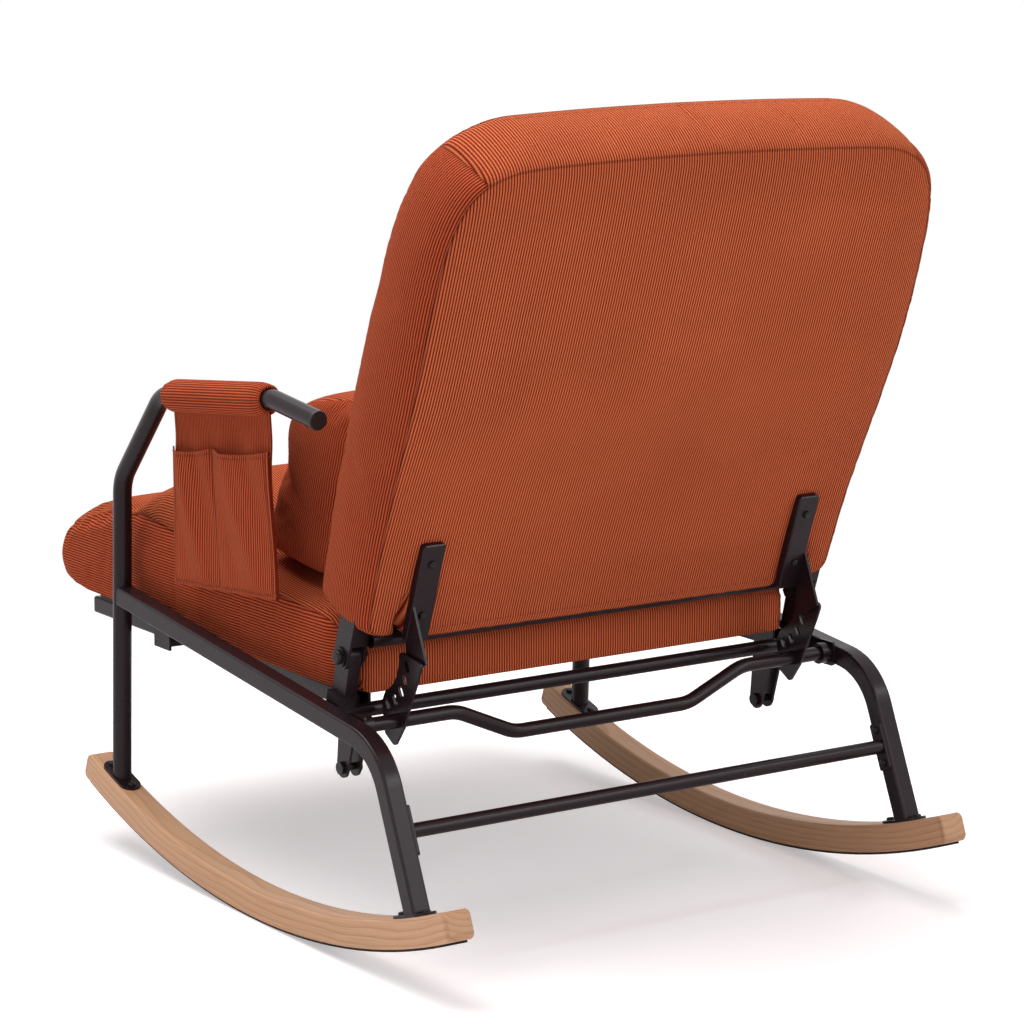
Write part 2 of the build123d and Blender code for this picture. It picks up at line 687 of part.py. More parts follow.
seat_faces = []
for y, rail_inset, lift, seam_height, crown in seat_sections:
    section_plane = Plane(origin=(0, y, seat_bottom_z), x_dir=across, z_dir=(0, -1, 0))
    seat_faces.append(section_plane * pillow_top_section(rail_inner_x - rail_inset, lift,
                                                         seam_height, seat_side_swell, crown))
# The seat's cover hangs round the edges of the board
board_room = Pos(0, (bearer_front_y + bearer_rear_y) / 2, 0) * extrude(
    RectangleRounded(2 * (seat_board_half_width + soft_gap),
                     bearer_rear_y - bearer_front_y + 2 * soft_gap, rail_size),
    seat_board_z + seat_board_thickness + soft_gap)
seat_cushion = loft(seat_faces) - board_room

back_faces = []
for height, side_inset, rear, front, crown, swell in back_sections:
    section_plane = Plane(origin=(0, height, rear_panel_depth), x_dir=across, z_dir=(0, -1, 0))
    back_faces.append(section_plane * cushion_section(rocker_gauge - side_inset, rear, front, swell,
                                                      crown))
back_block = loft(back_faces)
back_front_depth = back_block.bounding_box().max.Z
back_cushion = back_plane * back_block
frame_room = frame_bow(back_tube_diameter + 2 * soft_gap)
channel_room = back_plane * Pos(
    (channel_inner_face + channel_outer_face) / 2, channel_length / 2, 0) * Box(
    channel_outer_face - channel_inner_face + 2 * soft_gap, channel_length + 2 * soft_gap,
    channel_width + 2 * soft_gap)
hem_height = back_sections[0][0]
latch_room = slab(
    make_face(Polyline(
        back_point(hem_height - soft_gap, rear_panel_depth - soft_gap),
        back_point(hem_height - soft_gap, rear_panel_depth + latch_room_depth),
        back_point(latch_room_low, rear_panel_depth + latch_room_depth),
        back_point(latch_room_top, rear_panel_depth - soft_gap), close=True)),
    latch_inner_x - soft_gap, latch_outer_x + soft_gap)
back_cushion = back_cushion - frame_room
for left_room in [channel_room, latch_room] + bracket_holes:
    back_cushion = back_cushion - left_room - mirror(left_room, about=Plane.YZ)

# Lumbar pillow: a loft across the chair, flat behind and full in front, with drawn-in ends
pillow_rear = back_front_depth + soft_gap
pillow_middle = ((pillow_rear_low + pillow_rear_high) / 2, pillow_rear)


def pillow_point(point, size):
    """A point of the pillow's profile, drawn in towards the middle of its rear."""
    return tuple(middle + (place - middle) * size for place, middle in zip(point, pillow_middle))


pillow_faces = []
for x_share, size in ([(-share, size) for share, size in pillow_shares] + [(0.0, 1.0)]
                      + list(reversed(pillow_shares))):
    low_rear, high_rear, low_front, high_front, bottom, front, top = [
        pillow_point(point, size)
        for point in ((pillow_rear_low, pillow_rear), (pillow_rear_high, pillow_rear),
                      pillow_front_low, pillow_front_high, pillow_bottom_middle,
                      pillow_front_middle, pillow_top_middle)]
    profile = make_face([
        Line(high_rear, low_rear),
        ThreePointArc(low_rear, bottom, low_front),
        ThreePointArc(low_front, front, high_front),
        ThreePointArc(high_front, top, high_rear),
    ])
    profile_plane = Plane(origin=(x_share * pillow_half_length, 0, 0), x_dir=(0, 1, 0), z_dir=across)
    pillow_faces.append(profile_plane * profile)
lumbar_pillow = back_plane * loft(pillow_faces)

# Arm sleeves on the straight of the arms
sleeve_direction = Vector(0, arm_rear_bend[0] - arm_front_bend[0],
                          arm_rear_bend[1] - arm_front_bend[1])
sleeve_start = Vector(rocker_gauge, *arm_front_bend) + sleeve_direction.normalized() * (
    sleeve_front_margin)
sleeve_length = sleeve_direction.length - sleeve_front_margin - sleeve_rear_margin
sleeve_ring = Circle(sleeve_diameter / 2) - Circle(tube_diameter / 2 + soft_gap)
arm_sleeve = extrude(Plane(origin=sleeve_start, x_dir=across, z_dir=sleeve_direction)
                     * sleeve_ring, sleeve_length)

# Pocket that hangs straight down from the left sleeve: a back sheet and two bellied compartments
arm_slope = atan2(sleeve_direction.Z, sleeve_direction.Y)
sleeve_rod = extrude(Plane(origin=sleeve_start, x_dir=across, z_dir=sleeve_direction)
                     * Circle(sleeve_diameter / 2), reach / 2, both=True)
pouch_x = rocker_gauge + pocket_offset


def pocket_point(along, drop):
    """Point in the side view straight below a place along the arm."""
    return (arm_front_bend[0] + along * cos(arm_slope),
            arm_front_bend[1] + along * sin(arm_slope) - drop)


def pocket_slab(top_drop, lift, x_low, x_high):
    """Hanging block from a drop below the arm to a lift above the pocket's lower edge."""
    outline = Polyline(pocket_point(pocket_start, top_drop), pocket_point(pocket_end, top_drop),
                       pocket_point(pocket_end + pocket_flare, pocket_rear_drop - lift),
                       pocket_point(pocket_start, pocket_front_drop - lift), close=True)
    return slab(make_face(outline), x_low, x_high)


def compartment(start, length, depth):
    """Tall bellied block beside the back sheet, flat towards it."""
    front_y = pocket_point(start, 0)[0]
    rear_y = pocket_point(start + length, 0)[0]
    belly = ThreePointArc((pouch_x, front_y), (pouch_x + depth, (front_y + rear_y) / 2),
                          (pouch_x, rear_y))
    return extrude(make_face([belly, Line(belly @ 1, belly @ 0)]), reach)


side_pocket = pocket_slab(0, 0, pouch_x - pocket_cloth, pouch_x)
pouch = pocket_slab(pocket_mouth_drop, 0, pouch_x, pouch_x + reach)
pouch_room = pocket_slab(0, pocket_seam, pouch_x, pouch_x + reach)
room_length = (pocket_end - pocket_start) / 2
for room_start in (pocket_start, pocket_start + room_length):
    front_sheet = compartment(room_start, room_length, pocket_belly + pocket_cloth)
    room = compartment(room_start + pocket_cloth, room_length - 2 * pocket_cloth, pocket_belly)
    side_pocket = side_pocket + (front_sheet & pouch) - (room & pouch_room)
side_pocket = side_pocket - sleeve_rod

# One file for each piece, a left and a right where there is a pair. The finished chair is
# moved so that y = 0 is the middle of its length.
os.makedirs("parts", exist_ok=True)
middle_y = (seat_cushion.bounding_box().min.Y + rocker.bounding_box().max.Y) / 2
placed = Pos(0, -middle_y, 0)
pairs = {
    "rocker": rocker,
    "rocker_strip": strip,
    "arm_post": arm_post,
    "arm_cap": arm_cap,
    "side_rail": side_rail,
    "front_foot_plate": front_plate,
    "rear_foot_plate": rear_plate,
    "crossbar_plate": end_plate,
    "hinge_upright": upright,
    "hinge_bolt": hinge_bolt,
    "hinge_channel": hinge_channel,
    "back_bracket": back_bracket,
    "back_fin": back_fin,
    "release_bearing": release_bearing,
    "latch_plate": latch_plate,
    "seat_bearer": seat_bearer,
    "seat_hanger": seat_hanger,
    "seat_lug_bolt": lug_bolt,
    "arm_sleeve": arm_sleeve,
}
singles = {
    "lower_crossbar": lower_crossbar,
    "upper_crossbar": upper_crossbar,
    "release_bar": release_bar,
    "front_crossbar": front_crossbar,
    "seat_board": seat_board,
    "seat_cushion": seat_cushion,
    "back_frame": back_frame,
    "back_cross_tube": back_cross_tube,
    "back_cushion": back_cushion,
    "lumbar_pillow": lumbar_pillow,
    "side_pocket": side_pocket,
}
groups = {
    "foot_screws": front_screws + rear_screws,
    "crossbar_screws": end_screws,
    "bracket_screws": bracket_screws,
    "seat_lugs": seat_lugs,
}
for name, piece in pairs.items():
    left_piece, right_piece = both_sides(placed * piece)
    export_step(left_piece, f"parts/{name}_left.step")
    export_step(right_piece, f"parts/{name}_right.step")
for name, piece in singles.items():
    export_step(placed * piece, f"parts/{name}.step")
for name, pieces in groups.items():
    everywhere = [solid for piece in pieces for solid in both_sides(placed * piece)]
    export_step(Compound(children=everywhere), f"parts/{name}.step")
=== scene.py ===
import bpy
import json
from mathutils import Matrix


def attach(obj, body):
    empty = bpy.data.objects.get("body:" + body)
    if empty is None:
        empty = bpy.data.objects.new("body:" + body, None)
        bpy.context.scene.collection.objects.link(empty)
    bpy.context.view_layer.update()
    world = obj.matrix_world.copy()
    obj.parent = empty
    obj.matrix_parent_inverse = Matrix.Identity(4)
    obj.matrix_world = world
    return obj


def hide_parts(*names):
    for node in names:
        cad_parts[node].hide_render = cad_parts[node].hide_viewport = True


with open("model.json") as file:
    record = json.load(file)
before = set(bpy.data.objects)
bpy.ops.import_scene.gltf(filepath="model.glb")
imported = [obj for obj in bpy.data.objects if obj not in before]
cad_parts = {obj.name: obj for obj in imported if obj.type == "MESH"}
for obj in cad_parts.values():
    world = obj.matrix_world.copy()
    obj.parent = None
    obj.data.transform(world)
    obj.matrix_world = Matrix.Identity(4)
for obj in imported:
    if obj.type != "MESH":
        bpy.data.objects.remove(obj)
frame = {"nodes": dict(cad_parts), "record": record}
"""Looks of the reclining rocking chair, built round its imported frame.

Sizes are in millimetres in the chair's own design frame until a mesh is made: the sitter faces -Y, the
floor is at z = 0 and y = 0 is under the rocking centre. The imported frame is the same, moved along Y.
"""
import json
import logging
import math
from dataclasses import dataclass, field
from enum import Enum
from functools import partial
from typing import Callable, Sequence

import bmesh
import bpy
import numpy as np
from mathutils import Vector
from mathutils.bvhtree import BVHTree

LOG = logging.getLogger("scene")
MM = 0.001
SHIFT_Y = 66.598
SHIFT = np.array([0.0, SHIFT_Y, 0.0])
FAR = 200.0        # a distance past everything that a seam or a limit reaches
OFF_SEAM = 99.0    # distance from a seam that cloth without one is marked with
# cloth with this mark also gets the deeper red of turned cloth, partly painted shade
TURNED = 9.0       # side mark of cloth whose wales run the other way all over

Colour = tuple[float, float, float, float]
Place = tuple[float, float, float]


class Body(str, Enum):
    """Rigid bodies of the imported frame."""

    FRAME = "frame"
    BACK = "back"
    RELEASE = "release"


class Slot(str, Enum):
    """Material slots of the record."""

    WOOD = "wood"
    STRIP = "strip"
    STEEL = "steel"
    BOLT = "bolt"
    PLUG = "plug"
    BOARD = "board"
    CORDUROY = "corduroy"


def linear(code: str) -> Colour:
    """Turns an sRGB hex code into the linear colour that shaders use.

    Args:
        code: Six hex digits with a leading hash.

    Returns:
        Linear red, green, blue and an alpha of one.
    """
    parts = [int(code[i:i + 2], 16) / 255 for i in (1, 3, 5)]
    light = [c / 12.92 if c <= 0.04045 else ((c + 0.055) / 1.055) ** 2.4 for c in parts]
    return (light[0], light[1], light[2], 1.0)


def to_row(points: np.ndarray) -> np.ndarray:
    """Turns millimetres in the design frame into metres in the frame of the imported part."""
    return (np.asarray(points, float) + SHIFT) * MM


def from_row(points: np.ndarray) -> np.ndarray:
    """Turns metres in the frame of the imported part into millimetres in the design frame."""
    return points / MM - SHIFT


# Node trees

MATH = "ShaderNodeMath"
MIX = "ShaderNodeMix"
NOISE = "ShaderNodeTexNoise"
MAP_RANGE = "ShaderNodeMapRange"


def add_node(tree: bpy.types.NodeTree, kind: str, *values: object, out: int | str = 0,
             inputs: dict[int | str, object] | None = None,
             stops: Sequence[tuple[float, Colour]] = (), **settings: object) -> bpy.types.NodeSocket | None:
    """Adds a node with its settings and links.

    Args:
        tree: Tree of a material, a world or a modifier.
        kind: Blender's name of the node type.
        *values: Numbers, colours or other nodes' outputs for the first inputs.
        out: Number or name of the output to return.
        inputs: Values for other inputs, by the socket's number or name.
        stops: Places from 0 to 1 and colours of a colour ramp.
        **settings: Properties of the node, such as an operation.

    Returns:
        The output, whose node has the other ones, or None for a node without any.
    """
    node = tree.nodes.new(kind)
    for key, value in settings.items():
        setattr(node, key, value)
    for key, value in {**dict(enumerate(values)), **(inputs or {})}.items():
        if isinstance(value, bpy.types.NodeSocket):
            tree.links.new(value, node.inputs[key])
        else:
            node.inputs[key].default_value = value
    for number, (place, colour) in enumerate(stops):
        elements = node.color_ramp.elements
        element = elements[number] if number < 2 else elements.new(place)
        element.position = place
        element.color = colour
    return node.outputs[out] if node.outputs else None


def new_material(name: str) -> tuple[bpy.types.Material, Callable[..., bpy.types.NodeSocket]]:
    """Starts a material with an empty tree.

    Args:
        name: Name of the material.

    Returns:
        The material, and add_node for its tree.
    """
    material = bpy.data.materials.new(name)
    material.use_nodes = True
    material.node_tree.nodes.clear()
    return material, partial(add_node, material.node_tree)


def per_metre(size: float) -> float:
    """Scale of a noise whose patches are about as large as a size in millimetres."""
    return 1 / (size * MM)


# Finishes

@dataclass(frozen=True)
class Corduroy:
    """Rust cotton corduroy: ribs of cut pile, called wales, between woven grooves.

    The eye gets matte stripes: painted shade darkens the groove and a painted highlight lightens the brushed
    tip, over a bump of the same profile. Turned cloth, whose nap lies the other way, gets a deeper red,
    partly for that nap and partly as painted shade. Painted shade also darkens the seams and stitch lines,
    and a band beside the seams of cloth that is not turned. Single fibres are too fine to show, so the pile
    is drawn in tufts of most of a millimetre.
    """

    name: str = "rust cotton corduroy, wide wale"
    # groove, low, body and nap ramp across each wale: the dark groove is painted shade, the pale tip a
    # painted highlight
    groove: str = "#3f0f09"
    low: str = "#7c2917"
    body: str = "#a9452a"
    nap: str = "#d06e45"
    bloom: str = "#e79a6c"
    # tint of turned cloth: partly its nap, which lies the other way, and partly painted shade
    turned_nap_and_shade: str = "#ead3d3"
    pitch: float = 3.25
    relief: float = 0.8
    rib_power: float = 0.9
    waver: float = 0.7
    waver_size: float = 38.5
    pile_size: float = 0.714
    pile_shade: float = 0.16
    pile_relief: float = 0.25
    patch_size: float = 111.0
    patch_shade: float = 0.26
    ground_shade: float = 0.8
    # seams and stitch lines are darkened with painted shade, on top of the dent of the stitch relief
    stitch_edge: tuple[float, float] = (0.4, 2.6)
    stitch_shade: float = 0.38
    stitch_relief: float = 1.2
    # painted shade in a band beside the seams of cloth that is not turned, for the valley along each seam
    seam_band: tuple[float, float] = (-75.0, -3.0)
    seam_shade: float = 0.15

    def build(self) -> bpy.types.Material:
        """Makes the material. It reads the piece's wale and seam attributes, which are in millimetres.

        Returns:
            The finished material.
        """
        material, add = new_material(self.name)
        place = add("ShaderNodeTexCoord", out="Object")
        seam = add("ShaderNodeAttribute", out="Fac", attribute_name="seam")
        wale = add("ShaderNodeAttribute", out="Vector", attribute_name="wale")
        upright, crossing, side = add("ShaderNodeSeparateXYZ", wale).node.outputs
        turned = add(MATH, side, 0.0, operation="GREATER_THAN")
        across = add(MIX, turned, inputs={2: upright, 3: crossing}, data_type="FLOAT")
        waver, pile, patch = (
            add(NOISE, out="Fac", inputs={"Vector": place, "Scale": per_metre(size), "Detail": detail})
            for size, detail in ((self.waver_size, 1.0), (self.pile_size, 2.0), (self.patch_size, 3.0)))
        waver = add(MATH, waver, 0.5, operation="SUBTRACT")
        across = add(MATH, waver, self.waver, across, operation="MULTIPLY_ADD")
        wave = add(MATH, add(MATH, across, math.pi / self.pitch, operation="MULTIPLY"), operation="SINE")
        rib = add(MATH, add(MATH, wave, operation="ABSOLUTE"), self.rib_power, operation="POWER")
        # Painted shade along the seams and stitch lines, where the cloth dips into a groove
        stitch = add(MAP_RANGE, seam, *self.stitch_edge, 1.0, 0.0, interpolation_type="SMOOTHSTEP")
        # Painted shade in each groove and a painted highlight on each tip, following the rib's profile
        colour = add("ShaderNodeValToRGB", rib, stops=(
            (0.0, linear(self.groove)), (0.38, linear(self.low)),
            (0.72, linear(self.body)), (1.0, linear(self.nap))))
        # Turned cloth gets a deeper red: partly its nap, partly painted shade on sides, sleeves, pocket and
        # pillow ends
        colour = add(MIX, turned, out=2, inputs={6: colour, 7: linear(self.turned_nap_and_shade)},
                     data_type="RGBA", blend_type="MULTIPLY")
        shade = add(MATH, patch, self.patch_shade, self.ground_shade, operation="MULTIPLY_ADD")
        shade = add(MATH, pile, self.pile_shade, shade, operation="MULTIPLY_ADD")
        # Painted shade beside the seams, for the valley along each seam; turned cloth is left out
        flat = add(MAP_RANGE, side, *self.seam_band, interpolation_type="SMOOTHSTEP")
        flat = add(MATH, flat, add(MATH, 1.0, turned, operation="SUBTRACT"), operation="MULTIPLY")
        for mark, loss in ((stitch, self.stitch_shade), (flat, self.seam_shade)):
            left = add(MATH, mark, -loss, 1.0, operation="MULTIPLY_ADD")
            shade = add(MATH, shade, left, operation="MULTIPLY")
        height = add(MATH, pile, self.pile_relief, rib, operation="MULTIPLY_ADD")
        height = add(MATH, stitch, -self.stitch_relief, height, operation="MULTIPLY_ADD")
        bump = add("ShaderNodeBump", inputs={"Height": height, "Strength": 0.8, "Distance": self.relief * MM})
        shader = add("ShaderNodeBsdfPrincipled", inputs={
            "Base Color": add("ShaderNodeVectorMath", colour, shade, operation="MULTIPLY"),
            "Roughness": 0.93, "Specular IOR Level": 0.06, "Sheen Weight": 0.16, "Sheen Roughness": 0.5,
            "Sheen Tint": linear(self.bloom), "Normal": bump})
        add("ShaderNodeOutputMaterial", shader)
        return material


@dataclass(frozen=True)
class PowderCoat:
    """Powder coat on steel: a dark satin skin whose soft gloss is broken by faint orange peel.

    Real orange peel is finer than a millimetre and is drawn at about that size, to show at all.
    """

    name: str
    colour: str
    roughness: float
    peel_size: float = 1.111
    cloud_size: float = 71.4
    cloud_spread: float = 0.1

    def build(self) -> bpy.types.Material:
        """Makes the material.

        Returns:
            The finished material.
        """
        material, add = new_material(self.name)
        place = add("ShaderNodeTexCoord", out="Object")
        peel, cloud = (
            add(NOISE, out="Fac", inputs={"Vector": place, "Scale": per_metre(size), "Detail": 2.0})
            for size in (self.peel_size, self.cloud_size))
        rough = add(MATH, cloud, self.cloud_spread, self.roughness - self.cloud_spread / 2,
                    operation="MULTIPLY_ADD")
        bump = add("ShaderNodeBump", inputs={"Height": peel, "Strength": 0.18, "Distance": 0.15 * MM})
        shader = add("ShaderNodeBsdfPrincipled", inputs={
            "Base Color": linear(self.colour), "Roughness": rough, "Specular IOR Level": 0.22,
            "Normal": bump})
        add("ShaderNodeOutputMaterial", shader)
        return material


@dataclass(frozen=True)
class Ash:
    """Steam-bent ash under clear satin lacquer: pale wood with growth rings and long open pores.

    The grain follows the bend of the rocker, so the eye gets stripes along its sides and arcs, a little
    darker, on its cut ends.
    """

    name: str = "ash, clear satin lacquer"
    early: str = "#d6a57f"
    middle: str = "#cf9d76"
    late: str = "#c29069"
    last: str = "#c9976f"
    pore: str = "#946a4a"
    centre_z: float = 1102.0
    pith_radius: float = 1040.0
    pith_across: float = 318.0
    ring: float = 7.0
    ring_power: float = 2.2
    drift: float = 24.0
    drift_grain: tuple[float, float, float] = (0.0036, 0.012, 3.0)
    fibre_grain: tuple[float, float, float] = (0.018, 1.1, 1.1)
    pore_edge: tuple[float, float] = (0.52, 0.72)
    pore_dark: float = 0.42
    half_length: float = 406.0
    end_shade: float = 0.82

    def build(self) -> bpy.types.Material:
        """Makes the material. Object coordinates are turned into length, depth and width of the rocker.

        Returns:
            The finished material.
        """
        material, add = new_material(self.name)
        place = add("ShaderNodeTexCoord", out="Object")
        x, y, z = add("ShaderNodeSeparateXYZ", place).node.outputs
        back = add(MATH, y, SHIFT_Y * MM, operation="SUBTRACT")
        down = add(MATH, self.centre_z * MM, z, operation="SUBTRACT")
        along = add(MATH, add(MATH, back, down, operation="ARCTAN2"), self.centre_z, operation="MULTIPLY")
        reach = add("ShaderNodeVectorMath", add("ShaderNodeCombineXYZ", back, down), out="Value",
                    operation="LENGTH")
        deep = add(MATH, reach, 1 / MM, -self.pith_radius, operation="MULTIPLY_ADD")
        wide = add(MATH, add(MATH, x, operation="ABSOLUTE"), 1 / MM, -self.pith_across,
                   operation="MULTIPLY_ADD")
        drift, fibre = (
            add(NOISE, out="Fac", inputs={"Scale": 1.0, "Detail": detail, "Vector": add(
                "ShaderNodeVectorMath", add("ShaderNodeCombineXYZ", along, deep, third), grain,
                operation="MULTIPLY")})
            for third, grain, detail in ((x, self.drift_grain, 2.0), (wide, self.fibre_grain, 4.0)))
        radius = add("ShaderNodeVectorMath", add("ShaderNodeCombineXYZ", deep, wide), out="Value",
                     operation="LENGTH")
        growth = add(MATH, drift, self.drift, radius, operation="MULTIPLY_ADD")
        ring = add(MATH, add(MATH, growth, self.ring, operation="DIVIDE"), operation="FRACT")
        band = add(MATH, ring, self.ring_power, operation="POWER")
        colour = add("ShaderNodeValToRGB", band, stops=(
            (0.0, linear(self.early)), (0.55, linear(self.middle)),
            (0.9, linear(self.late)), (1.0, linear(self.last))))
        pores = add(MAP_RANGE, fibre, *self.pore_edge, 0.0, self.pore_dark)
        colour = add(MIX, pores, out=2, inputs={6: colour, 7: linear(self.pore)}, data_type="RGBA")
        ends = add(MAP_RANGE, add(MATH, along, operation="ABSOLUTE"), self.half_length - 3,
                   self.half_length + 3, 1.0, self.end_shade)
        bump = add("ShaderNodeBump", inputs={"Height": fibre, "Strength": 0.12, "Distance": 0.2 * MM})
        shader = add("ShaderNodeBsdfPrincipled", inputs={
            "Base Color": add("ShaderNodeVectorMath", colour, ends, operation="MULTIPLY"),
            "Roughness": 0.46, "Specular IOR Level": 0.4, "Normal": bump})
        add("ShaderNodeOutputMaterial", shader)
        return material


@dataclass(frozen=True)
class Plain:
    """One even colour with a fine grain: rubber, nylon, stained plywood or thread, all without gloss."""

    name: str
    colour: str
    roughness: float
    grain_size: float = 1.667

    def build(self) -> bpy.types.Material:
        """Makes the material.

        Returns:
            The finished material.
        """
        material, add = new_material(self.name)
        place = add("ShaderNodeTexCoord", out="Object")
        grain = add(NOISE, out="Fac",
                    inputs={"Vector": place, "Scale": per_metre(self.grain_size), "Detail": 2.0})
        bump = add("ShaderNodeBump", inputs={"Height": grain, "Strength": 0.2, "Distance": 0.1 * MM})
        shader = add("ShaderNodeBsdfPrincipled", inputs={
            "Base Color": linear(self.colour), "Roughness": self.roughness, "Normal": bump})
        add("ShaderNodeOutputMaterial", shader)
        return material


class Finishes:
    """The chair's materials, one for each slot."""

    def __init__(self) -> None:
        """Builds every material."""
        self.by_slot: dict[Slot, bpy.types.Material] = {
            Slot.CORDUROY: Corduroy().build(),
            Slot.STEEL: PowderCoat("steel, dark brown satin powder coat", "#23161a", 0.27).build(),
            Slot.BOLT: PowderCoat("steel bolt, black oxide", "#1b1516", 0.28, 0.667).build(),
            Slot.WOOD: Ash().build(),
            Slot.STRIP: Plain("black rubber, matte", "#15120f", 0.85).build(),
            Slot.PLUG: Plain("black nylon, moulded", "#171415", 0.55).build(),
            Slot.BOARD: Plain("plywood, dark stain", "#2b2020", 0.8).build(),
        }
        self.thread = Plain("polyester thread, rust", "#7d3220", 0.7).build()
        # near-black painted shade that stands for the hollow of each hex socket
        self.socket = Plain("steel, shaded socket", "#0c0a0a", 0.6).build()

    def dress_frame(self) -> None:
        """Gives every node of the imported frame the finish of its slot."""
        for entry in frame["record"]["subparts"]:
            mesh = frame["nodes"][entry["node"]].data
            mesh.materials.clear()
            mesh.materials.append(self.by_slot[Slot(entry["material_slot"])])


# Mesh building

def coons(ring: np.ndarray, nx: int, ny: int) -> np.ndarray:
    """Fills a closed ring with a grid.

    Args:
        ring: Points round the edge: bottom left to right, up the right, top right to left, down the left.
        nx: Steps along the bottom and the top.
        ny: Steps along the sides.

    Returns:
        Grid of points, ny + 1 rows from the bottom up.
    """
    low = ring[:nx + 1]
    right = ring[nx:nx + ny + 1]
    high = ring[nx + ny:2 * nx + ny + 1][::-1]
    left = np.vstack([ring[2 * nx + ny:], ring[:1]])[::-1]
    s = np.linspace(0, 1, nx + 1)[None, :, None]
    t = np.linspace(0, 1, ny + 1)[:, None, None]
    flat = (1 - t) * low[None] + t * high[None] + (1 - s) * left[:, None] + s * right[:, None]
    corners = ((1 - s) * (1 - t) * low[0] + s * (1 - t) * low[-1] + (1 - s) * t * high[0] + s * t * high[-1])
    return flat - corners


def edge_index(nx: int, ny: int) -> list[tuple[int, int]]:
    """Row and column of a ring's points in an end's grid of nx by ny steps, in the ring's order."""
    return ([(0, i) for i in range(nx)] + [(j, nx) for j in range(ny)]
            + [(ny, i) for i in range(nx, 0, -1)] + [(j, 0) for j in range(ny, 0, -1)])


def walk(points: np.ndarray) -> np.ndarray:
    """Distance of each point from the first, along the line."""
    return np.r_[0, np.cumsum(np.linalg.norm(np.diff(points, axis=0), axis=1))]


def resample(points: np.ndarray, count: int) -> np.ndarray:
    """Spaces points evenly along a line.

    Args:
        points: Points of the line.
        count: Number of steps.

    Returns:
        count + 1 points.
    """
    steps = walk(points)
    at = np.linspace(0, steps[-1], count + 1)
    return np.column_stack([np.interp(at, steps, points[:, k]) for k in range(points.shape[1])])


def smooth_line(points: np.ndarray, rounds: int) -> np.ndarray:
    """Rounds the corners of a line by cutting them again and again.

    Args:
        points: Points of the line.
        rounds: Number of cuts.

    Returns:
        More points, with the same ends.
    """
    for _ in range(rounds):
        early = 0.75 * points[:-1] + 0.25 * points[1:]
        late = 0.25 * points[:-1] + 0.75 * points[1:]
        inner = np.stack([early, late], axis=1).reshape(-1, points.shape[1])
        points = np.vstack([points[:1], inner, points[-1:]])
    return points


def nearest(points: np.ndarray, place: tuple[float, float]) -> int:
    """Number of the point that is nearest to a place in the plane."""
    return int(np.argmin(np.hypot(points[:, 0] - place[0], points[:, 1] - place[1])))


def bell(value: np.ndarray, centre: float, width: float) -> np.ndarray:
    """A smooth bump of height one at a centre, with a half width."""
    return np.exp(-((value - centre) / width) ** 2)


def ease(value: np.ndarray, low: float, high: float) -> np.ndarray:
    """A smooth step from zero at the low place to one at the high place."""
    t = np.clip((value - low) / (high - low), 0, 1)
    return t * t * (3 - 2 * t)


def ripple(along: np.ndarray, across: np.ndarray, pitch: float) -> np.ndarray:
    """Uneven waves for puckers, the same on every run.

    Args:
        along: Places along the seam.
        across: Places away from it.
        pitch: Usual length of a wave.

    Returns:
        Heights from about -1 to 1.
    """
    k = 2 * math.pi / pitch
    return (np.sin(k * along + 1.3 * np.sin(0.21 * k * along + 0.7) + 0.04 * across)
            + 0.6 * np.sin(0.47 * k * along + 2.1 + 0.06 * across)
            + 0.4 * np.sin(1.73 * k * along + 0.4)) / 1.6


@dataclass
class Shell:
    """A closed cloth shell: rings of points between two filled ends."""

    rings: np.ndarray
    nx: int
    ny: int
    points: np.ndarray = field(init=False)
    faces: list[tuple[int, ...]] = field(init=False)
    ring_of: np.ndarray = field(init=False)
    first: np.ndarray = field(init=False)
    last: np.ndarray = field(init=False)

    def __post_init__(self) -> None:
        """Fills the ends and joins the faces."""
        nx, ny = self.nx, self.ny
        count = self.rings.shape[1]
        per_end = (nx + 1) * (ny + 1)
        ends = [coons(self.rings[0], nx, ny), coons(self.rings[-1], nx, ny)]
        middle = self.rings[1:-1].reshape(-1, 3)
        self.points = np.vstack([ends[0].reshape(-1, 3), middle, ends[1].reshape(-1, 3)])
        self.first = np.arange(per_end).reshape(ny + 1, nx + 1)
        self.last = self.first + per_end + len(middle)
        edge = edge_index(nx, ny)
        levels = [np.array([self.first[e] for e in edge])]
        for k in range(len(self.rings) - 2):
            levels.append(per_end + k * count + np.arange(count))
        levels.append(np.array([self.last[e] for e in edge]))
        self.ring_of = np.array(levels)
        self.faces = []
        for grid, flip in ((self.first, True), (self.last, False)):
            for j in range(ny):
                for i in range(nx):
                    quad = (grid[j, i], grid[j, i + 1], grid[j + 1, i + 1], grid[j + 1, i])
                    self.faces.append(tuple(int(v) for v in (quad[::-1] if flip else quad)))
        for low, high in zip(levels, levels[1:]):
            for i in range(count):
                after = (i + 1) % count
                self.faces.append((int(low[i]), int(low[after]), int(high[after]), int(high[i])))

    def edge_distance(self, ring: int, grid: np.ndarray) -> np.ndarray:
        """Distance of an end's grid points from the end's edge.

        Args:
            ring: Number of the ring round that end.
            grid: The end's point numbers.

        Returns:
            Millimetres, for the flattened grid.
        """
        inner = self.points[grid.ravel()]
        edge = self.points[self.ring_of[ring]]
        gaps = [np.min(np.linalg.norm(edge[None] - chunk[:, None], axis=2), axis=1)
                for chunk in np.array_split(inner, 40)]
        return np.concatenate(gaps)


